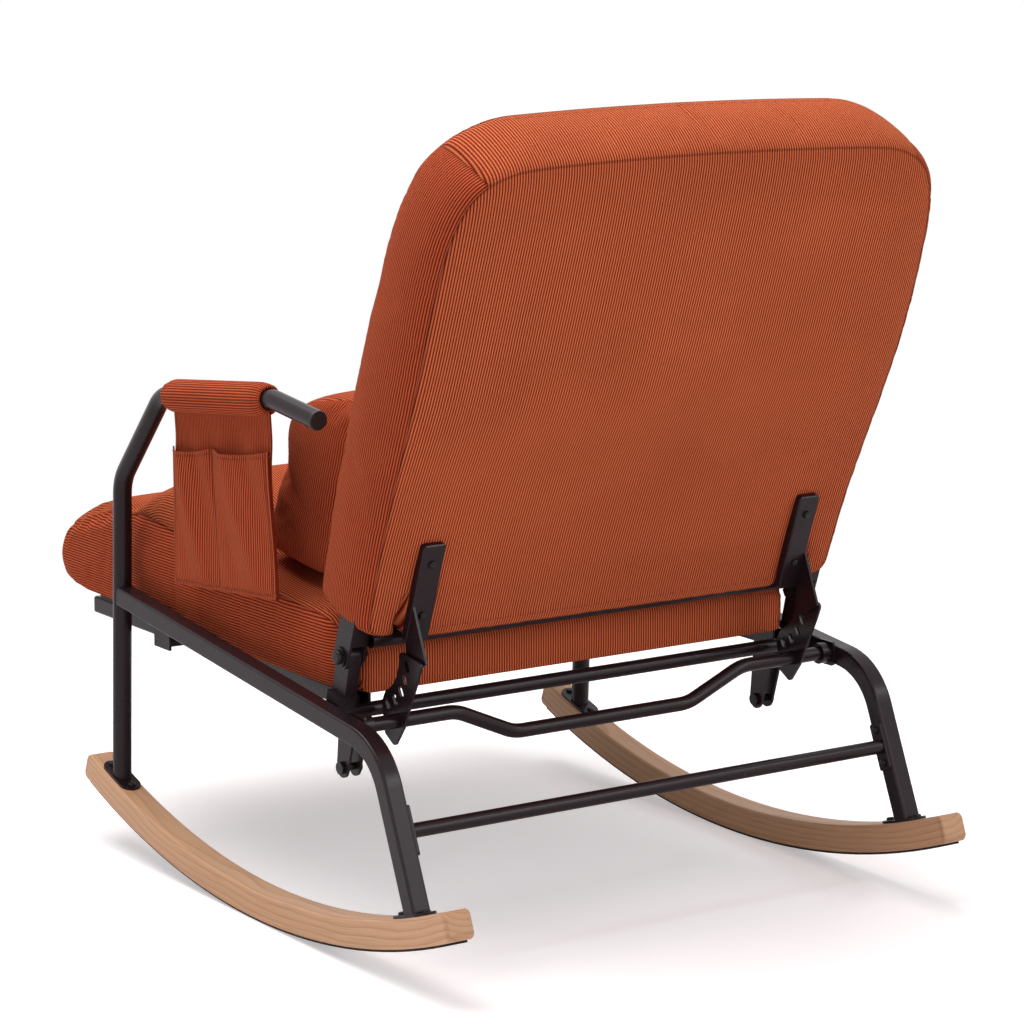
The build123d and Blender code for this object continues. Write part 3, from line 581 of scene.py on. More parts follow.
def make_object(name: str, points: np.ndarray, faces: Sequence[Sequence[int]]) -> bpy.types.Object:
    """Makes a mesh object from design-frame points.

    Args:
        name: Name of the object.
        points: Millimetres in the design frame.
        faces: Point numbers of each face.

    Returns:
        The object, at the origin, with outward faces and smooth shading.
    """
    mesh = bpy.data.meshes.new(name)
    mesh.from_pydata([tuple(p) for p in to_row(points)], [], faces)
    work = bmesh.new()
    work.from_mesh(mesh)
    bmesh.ops.recalc_face_normals(work, faces=work.faces)
    work.to_mesh(mesh)
    work.free()
    mesh.polygons.foreach_set("use_smooth", [True] * len(mesh.polygons))
    made = bpy.data.objects.new(name, mesh)
    bpy.context.scene.collection.objects.link(made)
    return made


def read_points(obj: bpy.types.Object) -> np.ndarray:
    """Vertex places of a mesh in the design frame.

    Args:
        obj: A mesh object.

    Returns:
        Millimetres, one point per row.
    """
    flat = np.empty(len(obj.data.vertices) * 3)
    obj.data.vertices.foreach_get("co", flat)
    return from_row(flat.reshape(-1, 3))


def write_points(obj: bpy.types.Object, points: np.ndarray) -> None:
    """Moves a mesh's vertices to points in the design frame."""
    obj.data.vertices.foreach_set("co", to_row(points).ravel())
    obj.data.update()


def read_normals(obj: bpy.types.Object) -> np.ndarray:
    """Vertex normals of a mesh.

    Args:
        obj: A mesh object.

    Returns:
        One unit vector per vertex.
    """
    flat = np.empty(len(obj.data.vertices) * 3)
    obj.data.vertex_normals.foreach_get("vector", flat)
    return flat.reshape(-1, 3)


def keep_result(obj: bpy.types.Object) -> None:
    """Replaces a mesh by the result of its modifiers, which are then removed.

    Args:
        obj: A mesh object.
    """
    seen = obj.evaluated_get(bpy.context.evaluated_depsgraph_get())
    made = bpy.data.meshes.new_from_object(seen)
    obj.modifiers.clear()
    obj.data = made


def on_surface(obj: bpy.types.Object, starts: np.ndarray, direction: np.ndarray) -> np.ndarray:
    """Drops points onto a mesh.

    Args:
        obj: A mesh object.
        starts: Points in the design frame.
        direction: The way that they move.

    Returns:
        The points that reach it, on its surface.
    """
    mesh = obj.data
    tree = BVHTree.FromPolygons([tuple(v.co) for v in mesh.vertices],
                                [tuple(p.vertices) for p in mesh.polygons])
    hits = [tree.ray_cast(Vector(start), Vector(direction))[0] for start in to_row(starts)]
    found = np.array([tuple(hit) for hit in hits if hit is not None])
    return from_row(found)


def mark_cloth(obj: bpy.types.Object, wale: np.ndarray, seam: np.ndarray) -> None:
    """Writes the attributes that the corduroy reads.

    Args:
        obj: A mesh object.
        wale: Across-wale places of two panels and the panel's sign, in millimetres.
        seam: Distance from the nearest seam, in millimetres.
    """
    kept = obj.data.attributes.new("wale", "FLOAT_VECTOR", "POINT")
    kept.data.foreach_set("vector", np.asarray(wale, float).ravel())
    kept = obj.data.attributes.new("seam", "FLOAT", "POINT")
    kept.data.foreach_set("value", np.asarray(seam, float).ravel())


def dress_cloth(obj: bpy.types.Object, finish: bpy.types.Material, body: Body) -> None:
    """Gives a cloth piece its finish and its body.

    Args:
        obj: The piece.
        finish: Its corduroy.
        body: Body that it rides on.
    """
    obj.data.materials.append(finish)
    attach(obj, body.value)


@dataclass(frozen=True)
class Inflation:
    """How a padded piece is blown up by Blender's cloth."""

    pressure: float = 4.0
    slack: float = 0.02
    frames: int = 18
    limit: float = 22.0
    tension: float = 12.0
    bending: float = 0.6
    compression: float = 0.6
    shear: float = 0.4
    mass: float = 0.35
    quality: int = 5

    def run(self, obj: bpy.types.Object, pin: np.ndarray) -> None:
        """Simulates the piece and keeps the result in its mesh.

        Args:
            obj: The piece.
            pin: How firmly each point is held, from 0 to 1.
        """
        scene = bpy.context.scene
        start = read_points(obj)
        group = obj.vertex_groups.new(name="pin")
        for level in np.unique(np.round(pin, 2)):
            members = np.nonzero(np.round(pin, 2) == level)[0]
            if level > 0:
                group.add([int(m) for m in members], float(level), "REPLACE")
        cloth = obj.modifiers.new("cloth", "CLOTH")
        rules = cloth.settings
        rules.quality = self.quality
        rules.mass = self.mass
        rules.tension_stiffness = self.tension
        rules.compression_stiffness = self.tension * self.compression
        rules.shear_stiffness = self.tension * self.shear
        rules.bending_stiffness = self.bending
        rules.use_pressure = True
        rules.uniform_pressure_force = self.pressure
        rules.shrink_min = -self.slack
        rules.vertex_group_mass = group.name
        rules.pin_stiffness = 1.0
        rules.effector_weights.gravity = 0.0
        cloth.collision_settings.use_collision = False
        cloth.point_cache.frame_start = 1
        cloth.point_cache.frame_end = self.frames
        for step in range(1, self.frames + 1):
            scene.frame_set(step)
        seen = obj.evaluated_get(bpy.context.evaluated_depsgraph_get())
        flat = np.empty(len(seen.data.vertices) * 3)
        seen.data.vertices.foreach_get("co", flat)
        moved = from_row(flat.reshape(-1, 3)) - start
        obj.modifiers.remove(cloth)
        obj.vertex_groups.remove(group)
        scene.frame_set(1)
        length = np.linalg.norm(moved, axis=1, keepdims=True)
        write_points(obj, start + moved * np.minimum(1, self.limit / np.maximum(length, 1e-6)))
        LOG.info("%s swelled by up to %.1f mm", obj.name, float(length.max()))


# Repeated small things

@dataclass(frozen=True)
class StitchLine:
    """A line of stitches on cloth."""

    points: np.ndarray
    facing: np.ndarray


@dataclass
class Repeater:
    """Copies one small solid to many places with Geometry Nodes."""

    name: str
    material: bpy.types.Material
    body: Body
    slot: Slot
    stitch_pitch: float = 4.2
    stitch_shape: Place = (1.5, 0.5, 0.4)

    def build(self, places: np.ndarray, facing: np.ndarray, along: np.ndarray, primitive: str,
              sizes: dict[str, int | float], scale: Place = (1.0, 1.0, 1.0)) -> bpy.types.Object:
        """Makes the copies as one mesh.

        Args:
            places: Points in the design frame.
            facing: Direction that each copy's own Z takes.
            along: Direction that each copy's own X takes.
            primitive: Blender's name of the node that makes the solid.
            sizes: Inputs of that node, which are inputs of the tree too.
            scale: Stretch of each copy along its own axes.

        Returns:
            The finished piece.
        """
        carrier = make_object(self.name, places, [])
        for key, values in (("facing", facing), ("along", along)):
            kept = carrier.data.attributes.new(key, "FLOAT_VECTOR", "POINT")
            kept.data.foreach_set("vector", np.asarray(values, float).ravel())
        tree = bpy.data.node_groups.new(self.name, "GeometryNodeTree")
        tree.interface.new_socket("Geometry", in_out="OUTPUT", socket_type="NodeSocketGeometry")
        tree.interface.new_socket("Geometry", in_out="INPUT", socket_type="NodeSocketGeometry")
        settings = {}
        for key, value in {**sizes, "Stretch": scale}.items():
            kind = {int: "NodeSocketInt", float: "NodeSocketFloat", tuple: "NodeSocketVector"}[type(value)]
            settings[tree.interface.new_socket(key, in_out="INPUT", socket_type=kind).identifier] = value
        add = partial(add_node, tree)
        given = add("NodeGroupInput").node.outputs
        solid = add(primitive, out="Mesh", inputs={key: given[key] for key in sizes})
        turn = (0.0, 0.0, 0.0)
        for key, axis, pivot in (("facing", "Z", "AUTO"), ("along", "X", "Z")):
            way = add("GeometryNodeInputNamedAttribute", key, out="Attribute", data_type="FLOAT_VECTOR")
            turn = add("FunctionNodeAlignRotationToVector", inputs={"Rotation": turn, "Vector": way},
                       axis=axis, pivot_axis=pivot)
        copies = add("GeometryNodeInstanceOnPoints", given["Geometry"], inputs={
            "Instance": solid, "Rotation": turn, "Scale": given["Stretch"]})
        real = add("GeometryNodeRealizeInstances", copies)
        add("NodeGroupOutput", add("GeometryNodeSetMaterial", real, inputs={"Material": self.material}))
        modifier = carrier.modifiers.new("copies", "NODES")
        modifier.node_group = tree
        for identifier, value in settings.items():
            modifier[identifier] = value
        keep_result(carrier)
        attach(carrier, self.body.value)
        return carrier

    def stitch(self, lines: Sequence[StitchLine]) -> bpy.types.Object:
        """Sews lines of stitches.

        Args:
            lines: Where they run.

        Returns:
            The finished piece.
        """
        places, facing, along = [], [], []
        for line in lines:
            spots = resample(line.points, max(2, round(float(walk(line.points)[-1]) / self.stitch_pitch)))
            run = np.gradient(spots, axis=0)
            places.append(spots)
            along.append(run / np.linalg.norm(run, axis=1, keepdims=True))
            facing.append(np.tile(line.facing, (len(spots), 1)))
        return self.build(np.vstack(places), np.vstack(facing), np.vstack(along), "GeometryNodeMeshUVSphere",
                          {"Segments": 8, "Rings": 5, "Radius": MM}, self.stitch_shape)


# The back

@dataclass(frozen=True)
class BackSpace:
    """Places on the back: across, up from the hinge and forward of it."""

    hinge_y: float = 143.0
    hinge_z: float = 323.0
    lean: float = math.radians(19.0)

    def place(self, local: np.ndarray) -> np.ndarray:
        """Turns places on the back into design-frame points.

        Args:
            local: Across, up and forward, in millimetres.

        Returns:
            Points in the design frame.
        """
        x, up, forward = np.moveaxis(np.asarray(local, float), -1, 0)
        y = self.hinge_y + up * math.sin(self.lean) - forward * math.cos(self.lean)
        z = self.hinge_z + up * math.cos(self.lean) + forward * math.sin(self.lean)
        return np.stack([x, y, z], axis=-1)

    def local(self, points: np.ndarray) -> np.ndarray:
        """Turns design-frame points into places on the back.

        Args:
            points: Points in the design frame.

        Returns:
            Across, up and forward, in millimetres.
        """
        x, y, z = np.moveaxis(np.asarray(points, float), -1, 0)
        y = y - self.hinge_y
        z = z - self.hinge_z
        up = y * math.sin(self.lean) + z * math.cos(self.lean)
        forward = -y * math.cos(self.lean) + z * math.sin(self.lean)
        return np.stack([x, up, forward], axis=-1)


@dataclass
class BackCushion:
    """Padded back: a bowed rear panel, a swelled band round it and a quilted front."""

    finish: bpy.types.Material
    space: BackSpace = field(default_factory=BackSpace)
    hem: float = 37.0
    hem_width: float = 12.0
    hem_reach: float = 60.0
    hem_stitch_end: float = 236.0
    lip_drop: float = 8.0
    lip_end: tuple[float, float] = (230.0, 246.0)
    rear: float = -30.0
    bow: float = 19.0
    bow_span: tuple[float, float] = (90.0, 380.0)
    fullness: float = 8.0
    full_span: tuple[float, float] = (200.0, 320.0)
    side_swell: float = 13.0
    top_swell: float = 9.0
    top_rise: tuple[float, float] = (20.0, 8.0)
    top_rise_end: tuple[float, float] = (205.0, 290.0)
    bottom_swell: float = 6.0
    bottom_drop: float = 9.0
    crown: float = 26.0
    channels: tuple[float, float] = (215.0, 415.0)
    channel_depth: float = 17.0
    channel_width: float = 15.0
    channel_reach: float = 24.0
    seam_depth: float = 1.6
    seam_width: float = 6.0
    top_stitch_end: float = 225.0
    top_stitch_up: Place = (0.0, 0.35, 0.94)
    latch_sides: tuple[float, float, float, float] = (260.5, 264.5, 271.0, 278.0)
    latch_depth: float = 23.5
    latch_top: float = 89.0
    latch_slope: float = 38.0
    latch_free: float = 40.0
    facing_span: tuple[float, float] = (0.25, 0.95)
    swell_power: tuple[float, float] = (2.2, 0.6)
    channel_pinch: float = 0.34
    pinch_span: tuple[float, float] = (0.3, 0.9)
    crown_reach: float = 34.0
    channel_fade: float = 30.0
    top_roll: float = 5.0
    top_roll_at: tuple[float, float] = (12.0, 11.0)
    top_roll_span: tuple[float, float] = (540.0, 590.0)
    full_reach: float = 40.0
    # the side mark of the rear panel and front face is at most this, which sets their painted seam shade
    mitre_off: float = -50.0
    mitre_from: float = 300.0
    mitre_slope: float = 8.0
    pin_width: float = 5.0
    hem_hold: tuple[float, float] = (6.0, 40.0)
    hem_step: tuple[float, float] = (11.0, 14.0)
    hem_thick: float = 0.9
    hem_faint: float = 0.9
    lip_fade: float = 45.0
    lip_round: float = 6.0
    pucker: float = 0.4
    pucker_reach: float = 16.0
    pucker_pitch: float = 34.0
    wave: float = 1.2
    wave_size: tuple[float, float] = (61.0, 83.0)
    wave_from: float = 60.0
    wale_lean: float = 0.02
    hem_start: float = -90.0
    top_start: tuple[float, float] = (625.0, 24.0)
    stitch_samples: int = 180
    nx: int = 116
    ny: int = 106
    band_rows: int = 28

    # half width and height of the rear seam, from the lower corner to the middle of the top
    seam_places: tuple[tuple[float, float], ...] = (
        (286.0, 37.0), (298.0, 38.5), (305.0, 46.0), (307.5, 62.0), (309.5, 121.0), (313.0, 215.0),
        (316.0, 300.0), (318.0, 380.0), (317.0, 440.0), (313.5, 490.0), (307.5, 518.0), (300.0, 538.0),
        (291.0, 551.5), (278.0, 563.0), (259.0, 572.5), (235.0, 578.0), (200.0, 580.5), (100.0, 584.0),
        (0.0, 585.0),
    )
    # height and depth of the front seam
    front_places: tuple[tuple[float, float], ...] = (
        (0.0, 68.0), (170.0, 68.0), (260.0, 64.0), (350.0, 57.0), (470.0, 50.0), (540.0, 47.0), (585.0, 38.0),
    )
    # seams across the band, and the corner that ends the hem
    mitre: tuple[float, float] = (277.0, 564.0)
    low_mitre: tuple[float, float] = (304.0, 42.0)
    low_corner: tuple[float, float] = (304.0, 45.0)

    def rear_line(self, up: np.ndarray) -> np.ndarray:
        """Depth of the rear panel, which bows back above the brackets."""
        return self.rear - self.bow * ease(up, *self.bow_span)

    def lip(self, across: np.ndarray) -> np.ndarray:
        """How far the hem hangs below its seam, over the cross tube between the brackets."""
        return self.lip_drop * (1 - ease(np.abs(across), *self.lip_end))

    def hem_stitch(self, across: np.ndarray) -> np.ndarray:
        """Height of the row of stitches along the hem."""
        return self.hem + self.hem_width - self.lip(across)

    def outline(self) -> np.ndarray:
        """The rear seam, evenly spaced on each of its four sides.

        Returns:
            Across and up of each ring point.
        """
        right = smooth_line(np.array(self.seam_places), 4)
        corner_low = nearest(right, self.low_corner)
        corner_high = nearest(right, self.mitre)
        low_half = np.vstack([[(0.0, self.hem)], right[:corner_low + 1]])
        bottom = np.vstack([low_half[::-1] * [-1, 1], low_half[1:]])
        high_half = right[corner_high:]
        top = np.vstack([high_half, (high_half[::-1] * [-1, 1])[1:]])
        up_right = right[corner_low:corner_high + 1]
        down_left = up_right[::-1] * [-1, 1]
        return np.vstack([resample(bottom, self.nx)[:-1], resample(up_right, self.ny)[:-1],
                          resample(top, self.nx)[:-1], resample(down_left, self.ny)[:-1]])

    def band(self, edge: np.ndarray) -> np.ndarray:
        """The band from the rear seam to the front seam.

        Args:
            edge: The rear seam.

        Returns:
            Rings of across, up and forward places.
        """
        ahead = np.roll(edge, -1, axis=0) - np.roll(edge, 1, axis=0)
        ahead /= np.linalg.norm(ahead, axis=1, keepdims=True)
        outward = np.column_stack([ahead[:, 1], -ahead[:, 0]])
        up = edge[:, 1]
        top = ease(outward[:, 1], *self.facing_span)
        under = ease(-outward[:, 1], *self.facing_span)
        dent = sum(bell(up, c, self.channel_reach) for c in self.channels) * (1 - top) * (1 - under)
        middle, corner = self.top_rise
        rise = middle - (middle - corner) * ease(np.abs(edge[:, 0]), *self.top_rise_end)
        behind = self.rear_line(up)
        ahead_of = np.interp(up, *np.array(self.front_places).T)
        inner, outer = self.swell_power
        rings = []
        for level in 0.5 - 0.5 * np.cos(np.linspace(0, math.pi, self.band_rows + 1)):
            curve = (1 - abs(2 * level - 1) ** inner) ** outer
            pinch = self.channel_pinch * dent * float(ease(np.array(level), *self.pinch_span))
            side = self.side_swell * (1 - pinch)
            push = side * (1 - top - under) + self.top_swell * top + self.bottom_swell * under
            push = push * curve + (rise * top - self.bottom_drop * under) * level
            depth = behind + (ahead_of - behind) * level
            rings.append(np.column_stack([edge + outward * push[:, None], depth]))
        return np.array(rings)

    def build(self) -> bpy.types.Object:
        """Makes the cushion.

        Returns:
            The finished piece.
        """
        edge = self.outline()
        along = walk(edge)
        rings = self.band(edge)
        shell = Shell(self.space.place(rings), self.nx, self.ny)
        local = self.space.local(shell.points)
        rear_gap = shell.edge_distance(0, shell.first)
        front_gap = shell.edge_distance(self.band_rows, shell.last)
        face = local[shell.last.ravel()]
        puff = self.crown * (1 - np.exp(-front_gap / self.crown_reach))
        for channel in self.channels:
            pull = self.channel_depth * bell(face[:, 1], channel, self.channel_width)
            puff -= pull * (1 - np.exp(-front_gap / self.channel_fade))
        face[:, 2] += puff
        roll = self.top_roll * bell(front_gap, *self.top_roll_at)
        face[:, 1] += roll * ease(face[:, 1], *self.top_roll_span)
        local[shell.last.ravel()] = face
        panel = local[shell.first.ravel()]
        full = self.fullness * (1 - np.exp(-rear_gap / self.full_reach)) * ease(panel[:, 1], *self.full_span)
        panel[:, 2] = self.rear_line(panel[:, 1]) - full
        local[shell.first.ravel()] = panel
        cushion = make_object("back_cushion_padded", self.space.place(local), shell.faces)

        count = len(local)
        from_rear = np.zeros(count)
        from_front = np.zeros(count)
        mitre = np.full(count, self.mitre_off)
        station = np.zeros(count)
        from_rear[shell.first.ravel()] = -rear_gap
        from_front[shell.last.ravel()] = -front_gap
        widths = np.linalg.norm(np.diff(rings, axis=0), axis=2)
        walked = np.vstack([np.zeros(len(edge)), np.cumsum(widths, axis=0)])
        corner = self._mitre_places(edge, along)
        for level, members in enumerate(shell.ring_of):
            from_rear[members] = walked[level]
            from_front[members] = walked[-1] - walked[level]
            mitre[members] = corner
            station[members] = along
        from_front[shell.first.ravel()] = FAR
        from_rear[shell.last.ravel()] = FAR
        # Side mark: turned tint, partly painted shade, on the side bands; painted seam shade near seams
        # elsewhere
        band_side = np.minimum(np.minimum(from_rear, from_front), mitre)
        seam = np.minimum(np.abs(from_rear), np.abs(from_front))
        on_band = (from_rear >= 0) & (from_front >= 0)
        seam = np.where(on_band & (local[:, 1] > self.mitre_from), np.minimum(seam, np.abs(mitre)), seam)
        pin = np.zeros(count)
        pin[shell.first.ravel()] = 1.0
        pin = np.maximum(pin, bell(np.minimum(np.abs(from_rear), np.abs(from_front)), 0.0, self.pin_width))
        held, free = self.hem_hold
        pin = np.maximum(pin, 1 - ease(local[:, 1], self.hem + held, self.hem + free))
        for channel in self.channels:
            pin[shell.last.ravel()] = np.maximum(pin[shell.last.ravel()],
                                                 bell(face[:, 1], channel, self.pin_width))
        Inflation(pressure=3.0, limit=5.0, slack=0.003).run(cushion, np.clip(pin, 0, 1))

        points = read_points(cushion)
        normals = read_normals(cushion)
        lift = -self.seam_depth * bell(seam, 0.0, self.seam_width)
        crease = np.exp(-np.abs(from_rear) / self.pucker_reach) * on_band
        lift += self.pucker * crease * ripple(station, from_rear, self.pucker_pitch)
        thick, thin = self.hem_step
        hem_band = (from_rear < 0) * (1 - ease(local[:, 1], self.hem + thick, self.hem + thin))
        lift += self.hem_thick * hem_band
        points += normals * lift[:, None]
        local = self.space.local(points)
        by_hem = np.where(from_rear < 0, 1 - ease(local[:, 1], self.hem, self.hem + self.lip_fade),
                          bell(from_rear, 0.0, self.lip_round))
        local[:, 1] -= self.lip(local[:, 0]) * by_hem * (local[:, 1] < self.hem + self.hem_reach)
        rear_face = shell.first.ravel()
        sag = local[rear_face]
        wide, tall = self.wave_size
        wave = self.wave * np.sin(sag[:, 0] / wide + 1.0) * np.sin(sag[:, 1] / tall)
        sag[:, 2] += wave * ease(rear_gap, 0, self.wave_from)
        local[rear_face] = sag
        local[:, 2] = np.maximum(local[:, 2], self._latch_limit(local))
        write_points(cushion, self.space.place(local))
        hem_line = np.where(local[:, 1] < self.hem + self.hem_reach,
                            np.abs(local[:, 1] - self.hem_stitch(local[:, 0])), OFF_SEAM)
        seam = np.where(from_rear < 0, np.minimum(seam, hem_line + self.hem_faint), seam)
        across = local[:, 0] + self.wale_lean * local[:, 1]
        mark_cloth(cushion, np.column_stack([across, from_rear, band_side]), seam)
        dress_cloth(cushion, self.finish, Body.BACK)
        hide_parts("back_cushion")
        return cushion

    def _latch_limit(self, local: np.ndarray) -> np.ndarray:
        """How far back the cloth may stand where the latch plates swing past the hem.

        Args:
            local: Places on the back.

        Returns:
            The rearmost place forward of the hinge.
        """
        across = np.abs(local[:, 0])
        inner, inner_full, outer_full, outer = self.latch_sides
        beside = ease(across, inner, inner_full) * (1 - ease(across, outer_full, outer))
        depth = self.latch_depth * np.clip((self.latch_top - local[:, 1]) / self.latch_slope, 0, 1)
        free = self.latch_free
        return np.where(depth > 0, self.rear - free + (free + depth) * beside, -FAR)

    def _mitre_places(self, edge: np.ndarray, along: np.ndarray) -> np.ndarray:
        """Signed distance round the edge from the mitre seams at the top corners.

        Args:
            edge: Ring points, across and up.
            along: Distance of each point round the edge.

        Returns:
            Positive on the sides, and below zero, at mitre_slope times the distance, on top and bottom.
        """
        high, low = nearest(edge, self.mitre), nearest(edge, self.low_mitre)
        right = np.minimum(along[high] - along, along - along[low])
        mirrored = [nearest(edge, (-across, up)) for across, up in edge]
        side = np.maximum(right, right[mirrored])
        return np.where(side < 0, self.mitre_slope * side, side)

    def stitch_lines(self, cushion: bpy.types.Object) -> list[StitchLine]:
        """Lines of stitches along the hem and beside the front seam's top.

        Args:
            cushion: The finished cushion.

        Returns:
            Lines in the design frame.
        """
        back = self.space.place(np.array([[0, 0, -1.0], [0, 0, 0]]))
        behind = back[0] - back[1]
        hem = on_surface(cushion, self.space.place(np.array(
            [(x, self.hem_stitch(x), self.hem_start)
             for x in np.linspace(-self.hem_stitch_end, self.hem_stitch_end, self.stitch_samples)])), -behind)
        above = np.array(self.top_stitch_up)
        top = on_surface(cushion, self.space.place(np.array(
            [(x, *self.top_start)
             for x in np.linspace(-self.top_stitch_end, self.top_stitch_end, self.stitch_samples)])), -above)
        return [StitchLine(hem, behind), StitchLine(top, above)]


@dataclass
class LumbarPillow:
    """Loose pillow in front of the back, standing on the seat: full ends and a creased front."""

    finish: bpy.types.Material
    space: BackSpace = field(default_factory=BackSpace)
    nx: int = 96
    ny: int = 44
    ring_count: int = 30
    corner: float = 14.0
    seam_ring: int = 5
    seam_depth: float = 2.4
    fullness: float = 7.0
    crease: float = 94.0
    crease_width: float = 14.0
    tuck: float = 96.0
    tuck_depth: float = 5.0
    tuck_swell: float = 2.0
    tuck_span: tuple[float, float] = (150.0, 205.0)
    end_from: float = 240.0
    rear_limit: float = 97.5
    full_reach: float = 40.0
    end_mark: float = 40.0
    end_turn: float = 225.0
    end_facing: tuple[float, float] = (40.0, 0.6)
    pin_width: float = 5.0
    foot_hold: tuple[float, float] = (14.0, 44.0)
    seam_width: float = 5.0
    pucker: float = 1.5
    pucker_reach: float = 24.0
    pucker_pitch: float = 44.0
    tuck_front: float = 240.0
    tuck_lean: float = 0.3
    tuck_width: float = 11.0
    swell_at: tuple[float, float] = (-26.0, 16.0)

    # forward, lower edge, upper edge and half length
    table: tuple[tuple[float, ...], ...] = (
        (98.5, 38.0, 212.0, 240.0),
        (101.0, 28.0, 219.0, 250.0),
        (108.0, 20.0, 224.0, 257.0),
        (124.0, 13.0, 228.0, 262.0),
        (146.0, 7.0, 227.5, 266.0),
        (172.0, 1.0, 221.0, 268.5),
        (198.0, -4.0, 210.0, 270.0),
        (221.0, -8.0, 196.0, 270.0),
        (238.0, -9.0, 182.0, 269.0),
        (249.0, -6.0, 166.0, 266.0),
        (255.0, 4.0, 148.0, 260.0),
        (258.0, 17.0, 130.0, 251.0),
    )

    def build(self) -> bpy.types.Object:
        """Makes the pillow.

        Returns:
            The finished piece.
        """
        unit = self._unit_edge()
        rows = smooth_line(np.array(self.table), 3)
        steps = walk(rows)
        at = np.linspace(0, steps[-1], self.ring_count)
        forward, low, high, half = (np.interp(at, steps, rows[:, k]) for k in range(4))
        rings = np.array([np.column_stack([unit[:, 0] * h, (lo + hi) / 2 + unit[:, 1] * (hi - lo) / 2,
                                           np.full(len(unit), f)])
                          for f, lo, hi, h in zip(forward, low, high, half)])
        shell = Shell(self.space.place(rings), self.nx, self.ny)
        local = self.space.local(shell.points)
        widths = np.linalg.norm(np.diff(rings, axis=0), axis=2)
        walked = np.vstack([np.zeros(len(unit)), np.cumsum(widths, axis=0)])
        from_rear = np.zeros(len(local))
        gaps = np.full(len(local), self.end_mark)
        for level, members in enumerate(shell.ring_of):
            from_rear[members] = walked[level]
            gaps[members] = np.minimum(walked[level] - walked[self.seam_ring], OFF_SEAM)
        face = shell.last.ravel()
        front_gap = shell.edge_distance(len(rings) - 1, shell.last)
        from_rear[face] = walked[-1].mean() + front_gap
        front = local[face]
        front[:, 2] += self.fullness * (1 - np.exp(-front_gap / self.full_reach))
        front[:, 2] -= self.fullness * bell(front[:, 1], self.crease, self.crease_width)
        local[face] = front
        pillow = make_object("lumbar_pillow_padded", self.space.place(local), shell.faces)
        pin = np.zeros(len(local))
        pin[shell.first.ravel()] = 1.0
        pin = np.maximum(pin, bell(np.abs(gaps), 0.0, self.pin_width))
        pin = np.maximum(pin, 1 - ease(local[:, 1], *self.foot_hold))
        Inflation(pressure=3.0, limit=5.0, slack=0.006, bending=0.3).run(pillow, np.clip(pin, 0, 1))
        points = read_points(pillow)
        normals = read_normals(pillow)
        seam = np.abs(gaps)
        around = np.where(np.abs(local[:, 0]) > self.end_turn, local[:, 1], local[:, 0])
        lift = self.pucker * np.exp(-seam / self.pucker_reach) * ripple(around, from_rear, self.pucker_pitch)
        lift -= self.seam_depth * bell(seam, 0.0, self.seam_width)
        tuck = local[:, 1] - self.tuck + self.tuck_lean * (self.tuck_front - local[:, 2])
        lift -= self.tuck_depth * bell(tuck, 0.0, self.tuck_width) * ease(local[:, 2], *self.tuck_span)
        lift += self.tuck_swell * bell(tuck, *self.swell_at) * ease(local[:, 2], *self.tuck_span)
        points += normals * lift[:, None]
        local = self.space.local(points)
        local[:, 2] = np.maximum(local[:, 2], self.rear_limit)
        write_points(pillow, self.space.place(local))
        # Side mark: turned tint, partly painted shade, on the ends; painted seam shade near seams elsewhere
        slope, least = self.end_facing
        sides = np.minimum(np.abs(local[:, 0]) - self.end_from, slope * (np.abs(normals[:, 0]) - least))
        inner = front_gap > 0.01
        sides[face[inner]] = -np.maximum(front_gap[inner], 1.0)
        mark_cloth(pillow, np.column_stack([local[:, 0], local[:, 2], sides]), seam)
        dress_cloth(pillow, self.finish, Body.BACK)
        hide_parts("lumbar_pillow")
        return pillow

    def _unit_edge(self) -> np.ndarray:
        """A rounded square from -1 to 1, evenly spaced on each side.

        Returns:
            Across and up of each ring point.
        """
        angle = np.linspace(-0.75 * math.pi, 1.25 * math.pi, 4001)
        power = 2 / self.corner
        line = np.column_stack([np.sign(np.cos(angle)) * np.abs(np.cos(angle)) ** power,
                                np.sign(np.sin(angle)) * np.abs(np.sin(angle)) ** power])
        sides = [resample(line[k * 1000:(k + 1) * 1000 + 1], steps)[:-1]
                 for k, steps in enumerate((self.nx, self.ny, self.nx, self.ny))]
        return np.vstack(sides)


# The seat

